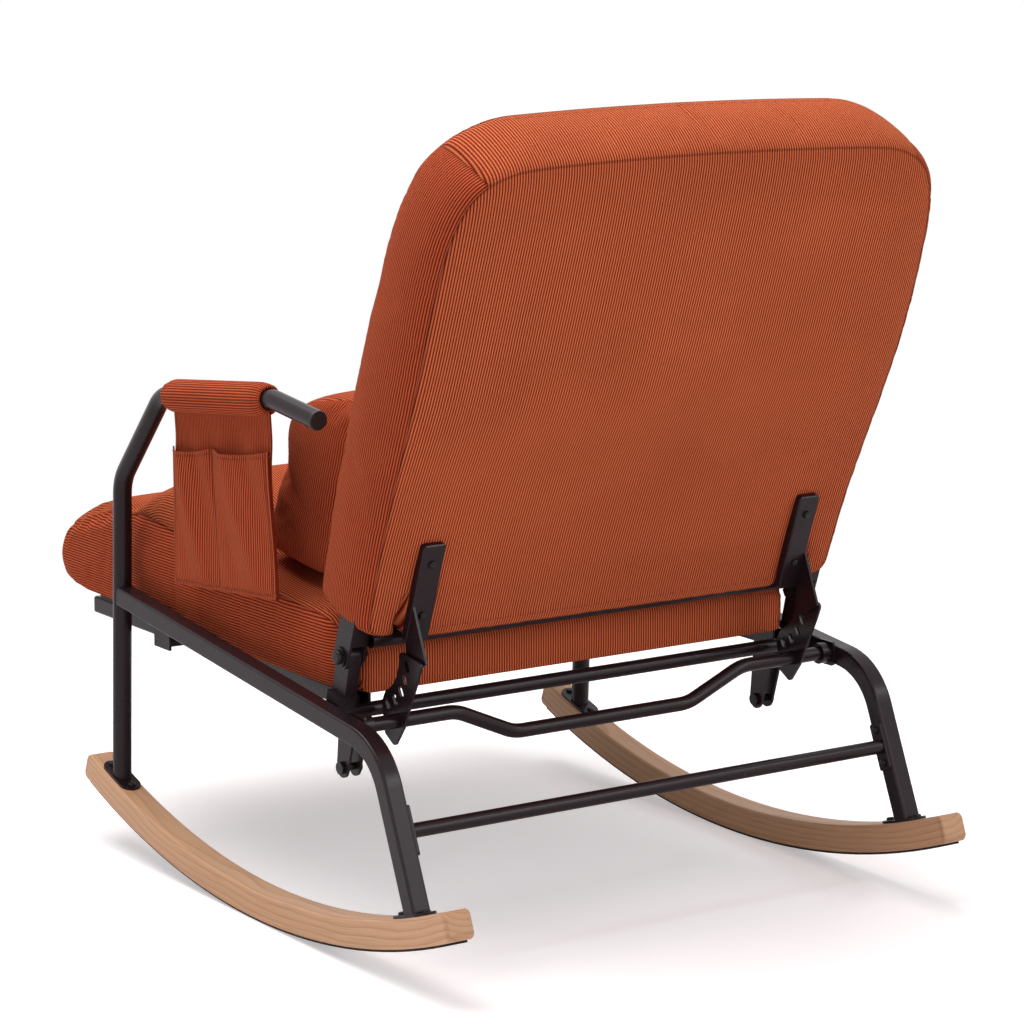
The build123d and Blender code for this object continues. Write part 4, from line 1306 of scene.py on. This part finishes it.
@dataclass
class SeatCushion:
    """Padded seat: a front roll, a full lobe behind the post and lower side bands."""

    finish: bpy.types.Material
    bottom: float = 276.4
    board_top: float = 8.2
    board_half: float = 288.8
    board_span: tuple[float, float] = (-475.0, 119.0)
    fold_y: float = -352.0
    seam_front: float = -350.0
    seam_depth: float = 3.2
    half_limit: tuple[float, float] = (309.5, 285.0)
    half_limit_span: tuple[float, float] = (108.0, 124.0)
    rear_panel: float = 126.0
    # side mark of the rear panel, which gives the whole panel a little painted seam shade
    rear_mark: float = -45.0
    end_mark: float = 30.0
    under_mark: float = 40.0
    fine_steps: int = 1400
    soften: int = 16
    pin_width: float = 5.0
    pin_from: float = -345.0
    base_hold: float = 12.0
    fold_width: float = 6.0
    fold_from: float = 90.0
    rear_hold: float = 14.0
    side_from: float = 230.0
    rear_seam_from: float = 4.0
    rear_corner: float = 255.0
    seam_width: float = 5.0
    pucker: float = 0.6
    pucker_reach: float = 22.0
    pucker_pitch: float = 58.0
    rear_pucker: float = 1.1
    rear_pucker_reach: float = 9.0
    rear_pucker_pitch: float = 21.0
    foot: float = 8.0
    foot_share: float = 0.3
    side_swell: float = 6.0
    side_power: float = 0.8
    crown_power: int = 11
    crown_mix: tuple[float, float] = (0.86, 0.14)
    nx: int = 120
    ny: int = 26
    stations: int = 150

    # shares of the rings, and of the length at which they stand
    spacing: tuple[tuple[float, ...], tuple[float, ...]] = ((0.0, 0.12, 0.9, 1.0), (0.0, 0.05, 0.94, 1.0))
    # y, half width, lift of the underside, seam height and crown
    table: tuple[tuple[float, ...], ...] = (
        (-531.0, 292.0, 31.0, 56.0, 3.0),
        (-527.0, 298.0, 22.0, 66.0, 4.0),
        (-515.0, 301.5, 15.0, 77.0, 5.0),
        (-495.0, 303.0, 11.0, 91.0, 6.0),
        (-460.0, 303.0, 8.0, 105.0, 8.0),
        (-410.0, 301.5, 7.0, 118.0, 9.0),
        (-374.0, 301.0, 4.0, 125.0, 7.0),
        (-354.0, 299.5, 1.0, 121.0, 4.0),
        (-338.0, 300.0, 0.0, 123.0, 20.0),
        (-318.0, 301.5, 0.0, 124.0, 38.0),
        (-285.0, 302.0, 0.0, 121.5, 56.0),
        (-240.0, 302.5, 0.0, 116.0, 64.0),
        (-170.0, 302.5, 0.0, 106.5, 52.0),
        (-95.0, 302.5, 0.0, 96.0, 15.0),
        (-10.0, 301.5, 0.0, 84.5, 16.0),
        (45.0, 301.0, 0.0, 81.0, 12.0),
        (92.0, 300.0, 0.0, 77.0, 7.0),
        (112.0, 294.0, 0.0, 68.0, 4.0),
        (124.0, 285.0, 0.0, 57.0, 3.0),
        (136.0, 281.0, 0.0, 47.0, 3.0),
    )

    def build(self) -> bpy.types.Object:
        """Makes the seat cushion.

        Returns:
            The finished piece.
        """
        rows = np.array(self.table)
        start, end = rows[0, 0], rows[-1, 0]
        share = np.linspace(0, 1, self.stations + 1)
        bend = np.interp(share, *self.spacing)
        ys = start + (end - start) * bend
        fine = np.linspace(start, end, self.fine_steps)
        kernel = np.hanning(2 * self.soften + 1)
        kernel /= kernel.sum()
        tracks = []
        for k in range(1, 5):
            flat = np.interp(fine, rows[:, 0], rows[:, k])
            soft = np.convolve(np.pad(flat, self.soften, mode="edge"), kernel, mode="valid")
            tracks.append(np.interp(ys, fine, soft))
        rings, heights, sideways = [], [], []
        for half, lift, seam, crown, y in zip(*tracks, ys):
            over_board = self.board_span[0] < y < self.board_span[1]
            ring, over, across = self._section(half, lift, seam, crown, over_board)
            rings.append(np.column_stack([ring[:, 0], np.full(len(ring), y), ring[:, 1] + self.bottom]))
            heights.append(over)
            sideways.append(across)
        shell = Shell(np.array(rings), self.nx, self.ny)
        seat = make_object("seat_cushion_padded", shell.points, shell.faces)
        count = len(shell.points)
        above = np.zeros(count)
        across = shell.points[:, 0].copy()
        rear_gap = np.full(count, FAR)
        above[shell.first.ravel()] = self.end_mark
        above[shell.last.ravel()] = self.end_mark
        for level, members in enumerate(shell.ring_of):
            above[members] = heights[level]
            if 0 < level < self.stations:
                across[members] = sideways[level]
            rear_gap[members] = ys[-1] - ys[level]
        rear_gap[shell.last.ravel()] = -shell.edge_distance(self.stations, shell.last)
        points = shell.points
        pin = bell(above, 0.0, self.pin_width) * (points[:, 1] > self.pin_from)
        pin = np.maximum(pin, points[:, 2] < self.bottom + self.base_hold)
        on_top = points[:, 2] > self.bottom + self.fold_from
        pin = np.maximum(pin, bell(points[:, 1], self.fold_y, self.fold_width) * on_top)
        pin = np.maximum(pin, rear_gap < self.rear_hold)
        Inflation(pressure=3.0, limit=5.0, slack=0.003).run(seat, np.clip(pin.astype(float), 0, 1))
        points = read_points(seat)
        normals = read_normals(seat)
        side = np.abs(points[:, 0]) > self.side_from
        seam = np.where((points[:, 1] > self.seam_front) & side, np.abs(above), OFF_SEAM)
        raised = points[:, 2] > self.bottom + self.rear_seam_from
        seam = np.minimum(seam, np.where(raised, np.abs(rear_gap), OFF_SEAM))
        lift = -self.seam_depth * bell(seam, 0.0, self.seam_width)
        near = self.pucker * np.exp(-np.abs(above) / self.pucker_reach) * side
        lift += near * ripple(points[:, 1], above, self.pucker_pitch)
        on_rear = rear_gap < 0
        edge = np.exp(np.minimum(rear_gap, 0) / self.rear_pucker_reach) * on_rear * raised
        around = np.where(np.abs(points[:, 0]) > self.rear_corner, points[:, 2], points[:, 0])
        lift += self.rear_pucker * edge * ripple(around, rear_gap, self.rear_pucker_pitch)
        points += normals * lift[:, None]
        points[:, 2] = np.maximum(points[:, 2], self.bottom - 0.1)
        wide, narrow = self.half_limit
        reach = wide - (wide - narrow) * ease(points[:, 1], *self.half_limit_span)
        points[:, 0] = np.clip(points[:, 0], -reach, reach)
        write_points(seat, points)
        # Side mark: turned tint, partly painted shade, on the sides; painted seam shade on top, front end and
        # rear panel
        turned = np.where(points[:, 1] > self.rear_panel, self.rear_mark, -above)
        mark_cloth(seat, np.column_stack([across, points[:, 2], turned]), seam)
        dress_cloth(seat, self.finish, Body.FRAME)
        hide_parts("seat_cushion")
        return seat

    def _section(self, half: float, lift: float, seam: float, crown: float,
                 over_board: bool) -> tuple[np.ndarray, np.ndarray, np.ndarray]:
        """Closed outline across the seat at one station.

        Args:
            half: Half of the width.
            lift: Height of the underside.
            seam: Height of the seam between side and top.
            crown: Rise of the top above the seam.
            over_board: Whether the underside lies on the board, with its cover hanging round the edge.

        Returns:
            Across and up of each ring point, its distance above the seam, and its distance from the
            middle along the cloth.
        """
        foot = min(self.foot, (seam - lift) * self.foot_share)
        across = np.sin(np.linspace(-math.pi / 2, math.pi / 2, self.nx + 1))
        low_x = across * (half - foot)
        rest = max(lift, self.board_top) if over_board else lift
        low = np.column_stack([low_x, np.where(np.abs(low_x) < self.board_half, rest, lift)])
        rise = np.linspace(0, 1, self.ny + 1)
        side_z = lift + (seam - lift) * rise
        round_in = foot * (1 - np.sqrt(np.clip(1 - np.clip(1 - (side_z - lift) / foot, 0, 1) ** 2, 0, 1)))
        swell = self.side_swell * np.sin(math.pi * rise) ** self.side_power
        right = np.column_stack([half - round_in + swell, side_z])
        right[0] = low[-1]
        over = np.clip(1 - np.abs(across[::-1]) ** self.crown_power, 0, 1) ** 0.5
        boxy, domed = self.crown_mix
        over = boxy * over + domed * (1 - across[::-1] ** 2)
        top = np.column_stack([across[::-1] * half, seam + crown * over])
        left = right[::-1] * [-1, 1]
        ring = np.vstack([low[:-1], right[:-1], top[:-1], left[:-1]])
        below = np.hypot(right[:, 0] - right[-1, 0], right[:, 1] - right[-1, 1])
        steps = walk(top)
        inward = np.minimum(steps, steps[-1] - steps)
        under = np.full(self.nx, self.under_mark)
        above = np.concatenate([under, -below[:-1], inward[:-1], -below[::-1][:-1]])
        sideways = np.concatenate([low_x[:-1], right[:-1, 0], steps[-1] / 2 - steps[:-1], left[:-1, 0]])
        return ring, above, sideways


# Arm sleeves and pocket

@dataclass(frozen=True)
class ArmLine:
    """The straight of an arm tube, from its front bend to its rear bend."""

    front_y: float = -216.0
    front_z: float = 559.0
    rear_y: float = 32.0
    rear_z: float = 586.5
    gauge: float = 329.0

    @property
    def slope(self) -> float:
        """Angle of the arm above the floor."""
        return math.atan2(self.rear_z - self.front_z, self.rear_y - self.front_y)

    def place(self, local: np.ndarray) -> np.ndarray:
        """Turns places on the arm into design-frame points.

        Args:
            local: Across, along from the front bend and above the tube's middle.

        Returns:
            Points in the design frame.
        """
        x, along, above = np.moveaxis(np.asarray(local, float), -1, 0)
        y = self.front_y + along * math.cos(self.slope) - above * math.sin(self.slope)
        z = self.front_z + along * math.sin(self.slope) + above * math.cos(self.slope)
        return np.stack([x, y, z], axis=-1)


@dataclass
class ArmSleeve:
    """Padded sleeve round an arm, with a turned hem at each end."""

    finish: bpy.types.Material
    side: int
    arm: ArmLine = field(default_factory=ArmLine)
    start: float = 20.0
    length: float = 220.5
    radius: float = 18.6
    bore: float = 11.4
    end_wall: float = 2.4
    lip: float = 0.4
    hem: float = 9.0
    hem_groove: float = 0.4
    hem_width: float = 3.0
    hem_faint: float = 1.2
    end_round: float = 5.5
    inside_step: int = 6
    gather: float = 0.5
    gather_reach: float = 14.0
    gather_depth: float = 0.06
    gather_waves: int = 9
    outside_from: float = 3.0
    sag: float = 0.7
    around: int = 96
    rows: int = 72

    def build(self) -> bpy.types.Object:
        """Makes the sleeve.

        Returns:
            The finished piece.
        """
        t = np.linspace(0, 1, self.rows + 1)
        ends = np.minimum(t, 1 - t) * self.length
        least = self.bore + self.end_wall
        outer = least + (self.radius - least) * (1 - np.exp(-ends / self.end_round))
        outer -= self.hem_groove * bell(ends, self.hem, self.hem_width)
        along = self.start + self.length * t
        inside = along[::-1][1:-1:self.inside_step]
        front_lip, rear_lip = along[0] + self.lip, along[-1] - self.lip
        profile = np.vstack([[(front_lip, self.bore + self.lip)], np.column_stack([along, outer]),
                             [(rear_lip, self.bore + self.lip)],
                             np.column_stack([inside, np.full(len(inside), self.bore)])])
        turn = np.linspace(0, 2 * math.pi, self.around, endpoint=False)
        points, wale, seam = [], [], []
        for place, size in profile:
            end_gap = min(place - self.start, self.start + self.length - place)
            gather = self.gather * math.exp(-end_gap / self.gather_reach)
            radius = np.full(self.around, size)
            if size > self.bore + self.outside_from:
                waves = np.sin(self.gather_waves * turn + 0.4 * math.sin(place))
                radius *= 1 + self.gather_depth * gather * waves
                radius += self.sag * np.clip(-np.sin(turn), 0, 1)
            x = self.side * self.arm.gauge + radius * np.cos(turn)
            points.append(np.column_stack([x, np.full(self.around, place), radius * np.sin(turn)]))
            wale.append(np.column_stack([0 * turn, turn * self.radius, np.full(self.around, TURNED)]))
            seam.append(np.full(self.around, abs(end_gap - self.hem) + self.hem_faint))
        count = len(profile)
        faces = []
        for k in range(count):
            after = (k + 1) % count
            for i in range(self.around):
                j = (i + 1) % self.around
                faces.append((k * self.around + i, k * self.around + j, after * self.around + j,
                              after * self.around + i))
        name = "arm_sleeve_left" if self.side > 0 else "arm_sleeve_right"
        sleeve = make_object(name + "_padded", self.arm.place(np.vstack(points)), faces)
        mark_cloth(sleeve, np.vstack(wale), np.concatenate(seam))
        dress_cloth(sleeve, self.finish, Body.FRAME)
        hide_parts(name)
        return sleeve


@dataclass
class SidePocket:
    """Pocket that hangs straight down from the sleeve: a back sheet and a front with two compartments."""

    finish: bpy.types.Material
    arm: ArmLine = field(default_factory=ArmLine)
    start: float = 28.0
    length: float = 215.0
    top: float = 14.0
    mouth: float = 57.0
    front_drop: float = 215.0
    rear_drop: float = 220.0
    flare: float = 13.0
    back_x: float = 330.0
    fullness: float = 8.5
    fold: float = 6.0
    gather: float = 1.2
    sag: float = 5.0
    hem: float = 5.0
    divide: float = 0.42
    divide_lean: float = 0.045
    cloth: float = 1.6
    gap: float = 0.4
    gather_waves: float = 21.0
    gather_at: tuple[float, float] = (0.16, 0.12)
    belly_power: float = 0.75
    closing: float = 0.5
    closing_span: tuple[float, float] = (0.1, 0.95)
    fold_waves: float = 1.3
    fold_slant: float = 0.7
    fold_start: float = 0.4
    fold_power: float = 1.4
    fold_fade: float = 0.4
    foot_span: tuple[float, float] = (0.9, 1.0)
    foot_open: tuple[float, float] = (0.12, 0.88)
    flare_span: tuple[float, float] = (60.0, 215.0)
    hem_faint: float = 0.5
    mouth_faint: float = 0.9
    divide_faint: float = 0.3
    stitch_inset: int = 3
    stitch_below: int = 6
    columns: int = 120
    rows: int = 90

    def build(self) -> list[bpy.types.Object]:
        """Makes both sheets.

        Returns:
            The back sheet and the front sheet.
        """
        back = self._sheet("pocket_back_sheet", self.top, self._back_depth)
        front = self._sheet("pocket_front_sheet", self.mouth, self._front_depth)
        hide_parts("side_pocket")
        return [back, front]

    def _cell(self, s: np.ndarray, share: np.ndarray) -> np.ndarray:
        """Place from 0 to 1 across each compartment; the seam between them leans to the rear."""
        middle = self.divide + self.divide_lean * share
        return np.where(s < middle, s / middle, (s - middle) / (1 - middle))

    def _back_depth(self, s: np.ndarray, share: np.ndarray) -> np.ndarray:
        """How far the back sheet stands out, with soft gathers below its top edge."""
        waves = 1 + np.sin(s * self.gather_waves + 0.5)
        return self.back_x - self.gather * waves * bell(share, *self.gather_at)

    def _front_depth(self, s: np.ndarray, share: np.ndarray) -> np.ndarray:
        """How far the front sheet stands out: two bellied compartments with slanting folds.

        Args:
            s: Share of the length.
            share: Share of the way down.

        Returns:
            Places across the chair.
        """
        cell = self._cell(s, share)
        belly = np.clip(np.sin(math.pi * cell), 0, 1) ** self.belly_power
        open_up = 1 - self.closing * ease(share, *self.closing_span)
        lean = np.sin(2 * math.pi * (cell * self.fold_waves - self.fold_slant * share) - self.fold_start)
        fold = self.fold * np.sign(lean) * np.abs(lean) ** self.fold_power * belly
        fold = fold * (1 - self.fold_fade * share)
        foot = 1 - ease(share, *self.foot_span)
        least, rest = self.foot_open
        out = (self.fullness * belly * open_up + fold) * (least + rest * foot)
        return self.back_x + self.cloth + self.gap + out

    def _sheet(self, name: str, top: float,
               depth: Callable[[np.ndarray, np.ndarray], np.ndarray]) -> bpy.types.Object:
        """Makes one sheet.

        Args:
            name: Name of the object.
            top: Distance of its top edge below the arm.
            depth: Function of the shares along and down that gives the place across.

        Returns:
            The sheet, with its thickness.
        """
        points, s, t = self._grid(top, depth)
        grid = np.arange((self.rows + 1) * (self.columns + 1)).reshape(self.rows + 1, -1)
        faces = [(int(grid[j, i]), int(grid[j + 1, i]), int(grid[j + 1, i + 1]), int(grid[j, i + 1]))
                 for j in range(self.rows) for i in range(self.columns)]
        sheet = make_object(name, points.reshape(-1, 3), faces)
        tall = self.front_drop + (self.rear_drop - self.front_drop) * s - top
        edge = np.minimum(np.minimum(s, 1 - s) * self.length, tall * (1 - t))
        seam = np.abs(edge - self.hem) + self.hem_faint
        if top == self.mouth:
            seam = np.minimum(seam, np.abs(tall * t - self.hem) + self.mouth_faint)
            seam = np.minimum(seam, self._from_divide(s, t) * self.length + self.divide_faint)
        wale = np.stack([0 * s, s * self.length, 0 * s + TURNED], axis=-1)
        mark_cloth(sheet, wale.reshape(-1, 3), seam.ravel())
        thick = sheet.modifiers.new("thickness", "SOLIDIFY")
        thick.thickness = self.cloth * MM
        thick.offset = 0.0
        keep_result(sheet)
        dress_cloth(sheet, self.finish, Body.FRAME)
        return sheet

    def _from_divide(self, s: np.ndarray, share: np.ndarray) -> np.ndarray:
        """Share of the length between a place and the seam that divides the compartments."""
        return np.abs(s - self.divide - self.divide_lean * share)

    def _grid(self, top: float,
              depth: Callable[[np.ndarray, np.ndarray], np.ndarray]) -> tuple[np.ndarray, ...]:
        """Points of one sheet.

        Args:
            top: Distance of its top edge below the arm.
            depth: Function of the shares along and down that gives the place across.

        Returns:
            Points in the design frame, and the shares along and down.
        """
        s = np.linspace(0, 1, self.columns + 1)[None, :] + np.zeros((self.rows + 1, 1))
        t = np.linspace(0, 1, self.rows + 1)[:, None] + np.zeros((1, self.columns + 1))
        foot = self.front_drop + (self.rear_drop - self.front_drop) * s
        drop = top + (foot - top) * t
        if top == self.mouth:
            drop = drop + self.sag * np.sin(math.pi * self._cell(s, t)) * (1 - t) ** 3
        along = self.start + s * self.length + s * self.flare * ease(drop, *self.flare_span)
        points = self.arm.place(np.stack([depth(s, t), along, 0 * s], axis=-1))
        points[..., 2] -= drop
        return points, s, t

    def stitch_lines(self) -> list[StitchLine]:
        """Lines of stitches on the front sheet: along the mouth, the foot, the seam and the edges.

        Returns:
            Lines in the design frame.
        """
        points, s, t = self._grid(self.mouth, self._front_depth)
        points[..., 0] += self.cloth / 2
        middle = np.argmin(self._from_divide(s, t), axis=1)
        inset, below = self.stitch_inset, self.stitch_below
        rows = [points[inset], points[-1 - inset]]
        columns = [points[below:, inset], points[below:, -1 - inset],
                   points[np.arange(below, self.rows + 1), middle[below:]]]
        return [StitchLine(line, np.array([1.0, 0.0, 0.0])) for line in rows + columns]


@dataclass
class Sockets:
    """Near-black hexagons on the screw and bolt heads: painted shade for their hex sockets."""

    finish: bpy.types.Material
    space: BackSpace = field(default_factory=BackSpace)
    rocking_z: float = 1102.0
    plate_radius: float = 1064.5
    head_height: float = 3.0
    post_x: float = 329.0
    foot_angles: tuple[float, float] = (-18.23, 16.86)
    screw_step: float = 1.3187
    leg_lean: float = math.radians(23.4)
    bar_plate: Place = (312.0, 280.1, 163.0)
    bar_screw_step: float = 19.0
    # place of a bolt's face, and whether it faces outward or inward
    bolts: tuple[tuple[Place, float], ...] = (
        ((322.75, 143.0, 323.0), 1.0), ((295.0, 104.0, 189.0), 1.0), ((269.0, 104.0, 189.0), -1.0))
    # across, up and forward on the back
    bracket_screws: tuple[Place, ...] = ((250.0, 64.0, -43.3), (250.0, 126.0, -43.3))
    radius: float = 1.9
    depth: float = 0.24
    # a way that no head faces, which the hexagons are turned by
    askew: Place = (0.31, 0.52, 0.79)

    def build(self) -> list[bpy.types.Object]:
        """Makes the sockets of both bodies.

        Returns:
            One piece on the frame and one on the back.
        """
        frame_spots = []
        for angle in self.foot_angles:
            for step in (-self.screw_step, self.screw_step):
                a = math.radians(angle + step)
                head = self.plate_radius - self.head_height
                frame_spots.append(((self.post_x, head * math.sin(a), self.rocking_z - head * math.cos(a)),
                                    (0.0, -math.sin(a), math.cos(a))))
        leg = np.array([0.0, -math.sin(self.leg_lean), math.cos(self.leg_lean)])
        for step in (-self.bar_screw_step, self.bar_screw_step):
            frame_spots.append((tuple(np.array(self.bar_plate) + leg * step), (-1.0, 0.0, 0.0)))
        frame_spots += [(place, (way, 0.0, 0.0)) for place, way in self.bolts]
        behind = (0.0, math.cos(self.space.lean), -math.sin(self.space.lean))
        back_spots = [(tuple(self.space.place(np.array(screw))), behind) for screw in self.bracket_screws]
        return [self._pair("frame_sockets", Body.FRAME, frame_spots),
                self._pair("back_sockets", Body.BACK, back_spots)]

    def _pair(self, name: str, body: Body,
              spots: Sequence[tuple[Sequence[float], Sequence[float]]]) -> bpy.types.Object:
        """Makes the sockets of one body on both sides of the chair.

        Args:
            name: Name of the piece.
            body: Body that it rides on.
            spots: Place and facing of each socket on the left.

        Returns:
            The finished piece.
        """
        flip = np.array([-1.0, 1.0, 1.0])
        places = np.array([spot[0] for spot in spots])
        facing = np.array([spot[1] for spot in spots])
        places = np.vstack([places, places * flip])
        facing = np.vstack([facing, facing * flip])
        along = np.cross(facing, np.array(self.askew))
        return Repeater(name, self.finish, body, Slot.BOLT).build(
            places, facing, along, "GeometryNodeMeshCylinder",
            {"Vertices": 6, "Radius": self.radius * MM, "Depth": self.depth * MM})


# Studio

WHITE = "#ffffff"


@dataclass(frozen=True)
class Softbox:
    """A rectangular area light, in metres and watts."""

    name: str
    place: Place
    aim: Place
    width: float
    depth: float
    power: float

    def build(self) -> None:
        """Hangs the light."""
        data = bpy.data.lights.new(self.name, "AREA")
        data.shape = "RECTANGLE"
        data.size = self.width
        data.size_y = self.depth
        data.energy = self.power
        lamp = bpy.data.objects.new(self.name, data)
        lamp.location = self.place
        lamp.rotation_mode = "QUATERNION"
        lamp.rotation_quaternion = (Vector(self.aim) - Vector(self.place)).to_track_quat("-Z", "Y")
        bpy.context.scene.collection.objects.link(lamp)


@dataclass(frozen=True)
class Studio:
    """Camera, lights and floor of a white studio."""

    lens: float = 130.08
    eye: Place = (2306.3, 3429.1, 1211.9)
    aim: Place = (0.0, 0.85, 423.7)
    world_light: float = 0.26
    floor_half: float = 6.0
    floor_colour: str = "#f6f3f4"
    floor_fade: tuple[float, float] = (0.75, 1.9)
    lift: float = 0.42
    lift_colour: str = "#fff9fa"
    lights: tuple[Softbox, ...] = (
        Softbox("overhead softbox", (0.45, -0.3, 2.95), (0.0, 0.1, 0.4), 2.6, 2.6, 97.0),
        Softbox("camera side softbox", (-1.4, 4.0, 1.9), (0.0, 0.0, 0.5), 2.4, 2.4, 40.0),
        Softbox("strip light", (-2.2, 2.6, 2.4), (0.0, 0.2, 0.4), 1.8, 0.2, 14.0),
        Softbox("left softbox", (2.6, 1.7, 1.2), (0.3, 0.0, 0.3), 1.0, 1.0, 8.0),
    )

    def build(self) -> None:
        """Makes the whole studio."""
        self._camera()
        self._world()
        self._floor()
        for light in self.lights:
            light.build()
        bpy.context.scene.view_settings.view_transform = "Standard"

    def _camera(self) -> None:
        """Sets the camera at the angle that was solved from the photo."""
        data = bpy.data.cameras.new("camera")
        data.lens = self.lens
        data.sensor_width = 36.0
        data.dof.use_dof = False
        data.clip_end = 100.0
        camera = bpy.data.objects.new("camera", data)
        eye = Vector(to_row(np.array([self.eye]))[0])
        aim = Vector(to_row(np.array([self.aim]))[0])
        camera.location = eye
        camera.rotation_mode = "QUATERNION"
        camera.rotation_quaternion = (aim - eye).to_track_quat("-Z", "Y")
        bpy.context.scene.collection.objects.link(camera)
        bpy.context.scene.camera = camera

    def _world(self) -> None:
        """White to the camera and in reflections, softer as a light."""
        world = bpy.data.worlds.new("white studio")
        world.use_nodes = True
        world.node_tree.nodes.clear()
        add = partial(add_node, world.node_tree)
        rays = add("ShaderNodeLightPath").node.outputs
        seen = rays["Is Camera Ray"]
        for other in ("Is Glossy Ray", "Is Transmission Ray"):
            seen = add(MATH, seen, rays[other], operation="MAXIMUM")
        lit, white = (add("ShaderNodeBackground", linear(WHITE), strength)
                      for strength in (self.world_light, 1.0))
        add("ShaderNodeOutputWorld", add("ShaderNodeMixShader", seen, lit, white))
        bpy.context.scene.world = world

    def _floor(self) -> None:
        """A pale floor that fades into the white background."""
        material, add = new_material("pale studio floor")
        place = add("ShaderNodeTexCoord", out="Object")
        away = add("ShaderNodeVectorMath", place, out="Value", operation="LENGTH")
        fade = add(MAP_RANGE, away, *self.floor_fade, interpolation_type="SMOOTHSTEP")
        paint = add("ShaderNodeBsdfDiffuse", linear(self.floor_colour))
        seen = add("ShaderNodeLightPath", out="Is Camera Ray")
        lift = add("ShaderNodeEmission", linear(self.lift_colour),
                   add(MATH, seen, self.lift, operation="MULTIPLY"))
        near = add("ShaderNodeAddShader", paint, lift)
        glow = add("ShaderNodeEmission", linear(WHITE), 1.0)
        add("ShaderNodeOutputMaterial", add("ShaderNodeMixShader", fade, near, glow))
        half = self.floor_half
        mesh = bpy.data.meshes.new("floor")
        mesh.from_pydata([(-half, -half, 0), (half, -half, 0), (half, half, 0), (-half, half, 0)], [],
                         [(0, 1, 2, 3)])
        mesh.materials.append(material)
        floor = bpy.data.objects.new("floor", mesh)
        bpy.context.scene.collection.objects.link(floor)


def main() -> None:
    """Builds the whole scene."""
    logging.basicConfig(level=logging.INFO, format="%(name)s: %(message)s")
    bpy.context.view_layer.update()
    finishes = Finishes()
    finishes.dress_frame()
    cloth = finishes.by_slot[Slot.CORDUROY]
    back, pocket = BackCushion(cloth), SidePocket(cloth)
    cushion = back.build()
    made = [cushion, LumbarPillow(cloth).build(), SeatCushion(cloth).build()]
    made += [ArmSleeve(cloth, side).build() for side in (1, -1)]
    made += pocket.build()
    for name, body, lines in (("back_stitches", Body.BACK, back.stitch_lines(cushion)),
                              ("pocket_stitches", Body.FRAME, pocket.stitch_lines())):
        made.append(Repeater(name, finishes.thread, body, Slot.CORDUROY).stitch(lines))
    made += Sockets(finishes.socket).build()
    Studio().build()
    for piece in made:
        LOG.info("%s: %d faces", piece.name, len(piece.data.polygons))


if __name__ == "__main__":
    main()
